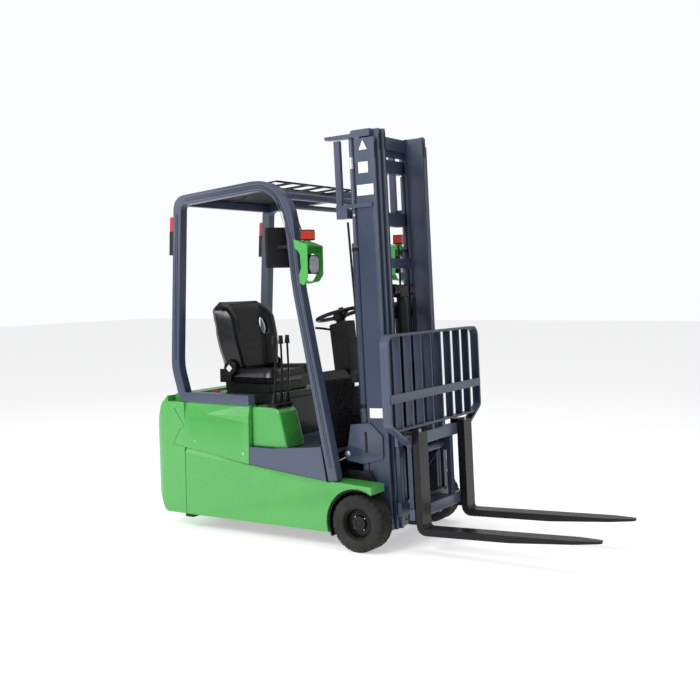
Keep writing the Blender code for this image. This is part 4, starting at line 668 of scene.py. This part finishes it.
labels = Piece("mast_plates", WHITE, "outer_mast", on_mast)
slots = Piece("mast_slots", SEAM_AND_SHADE, "outer_mast", on_mast)
bolts = Piece("mast_bolts", ZINC, "outer_mast", on_mast)
hoses = Piece("mast_hoses", HOSE, "outer_mast", on_mast)
bands = Piece("cylinder_bands", BLACK, "outer_mast", on_mast)
rods = Piece("rod_polish", CHROME, "middle_mast", on_mast)
for side in WORDS.values():
    skin = on_side(side, RAIL_FACE + 0.0002, RAIL_FACE + SKIN + 0.0006)
    labels.sheet([(0.031, 2.268), (0.085, 2.268), (0.058, 2.322)], "y", *skin)
    labels.block((0.024, 0.086), skin, (2.138, 2.200))
    labels.block((0.008, 0.116), skin, (2.012, 2.072))
    labels.block((0.018, 0.112), skin, (0.744, 0.800))
    slots.block((-0.018, -0.002), on_side(side, EAR_FACE + 0.0002, EAR_FACE + SKIN), (0.545, 0.665))
    bolts.bolt((-0.140, side * 0.330, 0.533), (0, side, 0), 0.014, 0.012)
    for z in (1.905, 1.950):
        bolts.bolt((-0.020, side * 0.3205, z), (0, side, 0), 0.005, 0.004)
    hoses.pipe([(-0.070, side * 0.270, 0.26), (-0.072, side * 0.268, 1.0), (-0.070, side * 0.266, 1.75)],
               HOSE_RADIUS)
    for z in (0.80, 1.70):
        bands.rod((CYLINDER_X, side * CYLINDER_Y, z), (CYLINDER_X, side * CYLINDER_Y, z + 0.022), 0.0275, 24)
    rods.rod((CYLINDER_X, side * CYLINDER_Y, 2.17), (CYLINDER_X, side * CYLINDER_Y, 2.235), 0.0166)
hoses.pipe([(-0.078, -0.300, 1.87), (-0.066, -0.300, 1.60), (-0.066, -0.268, 1.2)], HOSE_RADIUS)
labels.done()
for body, front, near, far, top in STAGES:
    # dark strips down each flange's inner edge and across it near the top are painted shade; the light strip down
    # its outer edge is a painted highlight
    shade_strips = Piece("flange_shade_" + body, SEAM_AND_SHADE, body, on_mast)
    edges = Piece("flange_highlight_" + body, SLATE_HIGHLIGHT, body, on_mast)
    rear = front - 0.0002
    for side in WORDS.values():
        shade_strips.block((rear, front + 0.0006), on_side(side, near, near + 0.007), (STAGE_FOOT, top - 0.01))
        shade_strips.block((rear, front + 0.0008), on_side(side, near + 0.003, far - 0.003),
                   (top - 0.115, top - 0.025))
        edges.block((rear, front + 0.0006), on_side(side, far - 0.0035, far), (STAGE_FOOT, top - 0.002))
    shade_strips.done()
    edges.done()
slots.done()
bolts.done()
hoses.done()
inner = Piece("free_lift_hoses", HOSE, "inner_mast", on_mast)
for y in (-0.150, -0.125, 0.125, 0.150):
    inner.pipe([(0.090, y, 0.30), (0.088, y, 0.90), (0.092, y * 0.97, 1.42)], 0.008)
inner.done()
bands.done()
rods.done()


def chain(name, x, y, low, high):
    """A leaf chain of alternating links, hanging straight along the inner mast."""
    piece = Piece(name, CHAIN, "inner_mast", on_mast)
    for k in range(int((high - low) / CHAIN_PITCH)):
        z = low + CHAIN_PITCH * k
        wide = 0.011 if k % 2 else 0.0085
        piece.block((x - 0.0065, x + 0.0065), (y - wide, y + wide), (z, z + CHAIN_PITCH * 0.98))
        pin = z + CHAIN_PITCH / 2
        piece.rod((x, y - 0.0125, pin), (x, y + 0.0125, pin), 0.0022, 6)
    return piece.done()


for word, side in WORDS.items():
    chain("free_chain_" + word, 0.046, side * 0.075, 0.62, 1.44)

# ---------------------------------------------------------------- carriage and forks
HOSE_X, HOSE_YS = 0.215, (-0.066, -0.040)
bolts = Piece("carriage_bolts", ZINC, "carriage", on_mast)
for side in WORDS.values():
    for z in (0.255, 0.577):
        bolts.bolt((0.200, side * 0.222, z), (0, side, 0), 0.008, 0.008)
bolts.done()
fittings = Piece("hose_fittings", ZINC, "side_shifter", on_mast)
fittings.rod((HOSE_X, HOSE_YS[0], 0.300), (HOSE_X, HOSE_YS[0], 0.345), 0.011, 6)
fittings.rod((HOSE_X, HOSE_YS[1], 0.310), (HOSE_X, HOSE_YS[1], 0.350), 0.009, 6)
fittings.done()
links = Piece("shift_hoses", HOSE, "side_shifter", on_mast)
links.pipe([(HOSE_X, HOSE_YS[0], 0.345), (0.213, -0.070, 0.40), (0.214, -0.10, 0.46),
            (0.222, -0.12, 0.52)], HOSE_RADIUS)
links.pipe([(HOSE_X, HOSE_YS[1], 0.350), (0.213, -0.035, 0.41), (0.214, 0.05, 0.47),
            (0.222, 0.12, 0.52)], HOSE_RADIUS)
links.done()
for word, side in WORDS.items():
    low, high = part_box("fork_" + word)
    middle = (low.y + high.y) / 2
    latch = Piece("fork_latch_" + word, ZINC, "fork_" + word, on_mast)
    latch.rod((0.318, middle, 0.668), (0.318, middle, 0.684), 0.010, 12, 0.007)
    latch.done()

# ---------------------------------------------------------------- stage
FLOOR_REACH = 30
floor = Piece("floor", FLOOR, "chassis", place=in_frame)
floor.block((-FLOOR_REACH, FLOOR_REACH), (-FLOOR_REACH, FLOOR_REACH), (-0.02, -0.0005))
floor = floor.done(ride=False)
floor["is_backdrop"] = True

WORLD_LIGHT, WORLD_SEEN = 0.52, 1.0          # its strength as a light, and as the background
world = bpy.data.worlds.new("studio")
bpy.context.scene.world = world
world.use_nodes = True
sky = world.node_tree.nodes["Background"]
sky.inputs["Color"].default_value = (0.97, 0.98, 1.0, 1.0)
seen = world.node_tree.nodes.new("ShaderNodeLightPath").outputs["Is Camera Ray"]
level = world.node_tree.nodes.new("ShaderNodeMapRange")
level.inputs["To Min"].default_value = WORLD_LIGHT
level.inputs["To Max"].default_value = WORLD_SEEN
world.node_tree.links.new(seen, level.inputs["Value"])
world.node_tree.links.new(level.outputs["Result"], sky.inputs["Strength"])


def light(name, where, target, size, power):
    """A round soft light that faces its target."""
    data = bpy.data.lights.new(name, "AREA")
    data.shape, data.size, data.energy = "DISK", size, power
    lamp = bpy.data.objects.new(name, data)
    bpy.context.scene.collection.objects.link(lamp)
    lamp.location = where
    lamp.rotation_mode = "QUATERNION"
    lamp.rotation_quaternion = (Vector(target) - Vector(where)).to_track_quat("-Z", "Y")
    lamp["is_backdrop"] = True


light("key", (-0.8, -5.5, 4.2), (0, 0, 0.9), 2.2, 210)
light("fill", (-5.0, -3.5, 3.0), (0, 0, 0.9), 3.0, 70)
light("top", (0.0, 0.5, 6.0), (0, 0, 1.0), 3.0, 110)

camera = bpy.data.objects.new("camera", bpy.data.cameras.new("camera"))
bpy.context.scene.collection.objects.link(camera)
bpy.context.scene.camera = camera
CAMERA_PLACE = (3.0766, -5.4427, 1.5311)
HEADING, PITCH, ROLL = 32.064, -3.763, -1.067          # in degrees, the heading from +Y to the left
turn = (Matrix.Rotation(math.radians(HEADING), 4, "Z") @ Matrix.Rotation(math.radians(90 + PITCH), 4, "X")
        @ Matrix.Rotation(math.radians(ROLL), 4, "Z"))
camera.matrix_world = Matrix.Translation(on_truck(CAMERA_PLACE)) @ turn
camera.data.lens = 53.98
camera.data.sensor_width = 36.0
bpy.context.scene.view_settings.view_transform = "Standard"

low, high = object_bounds()
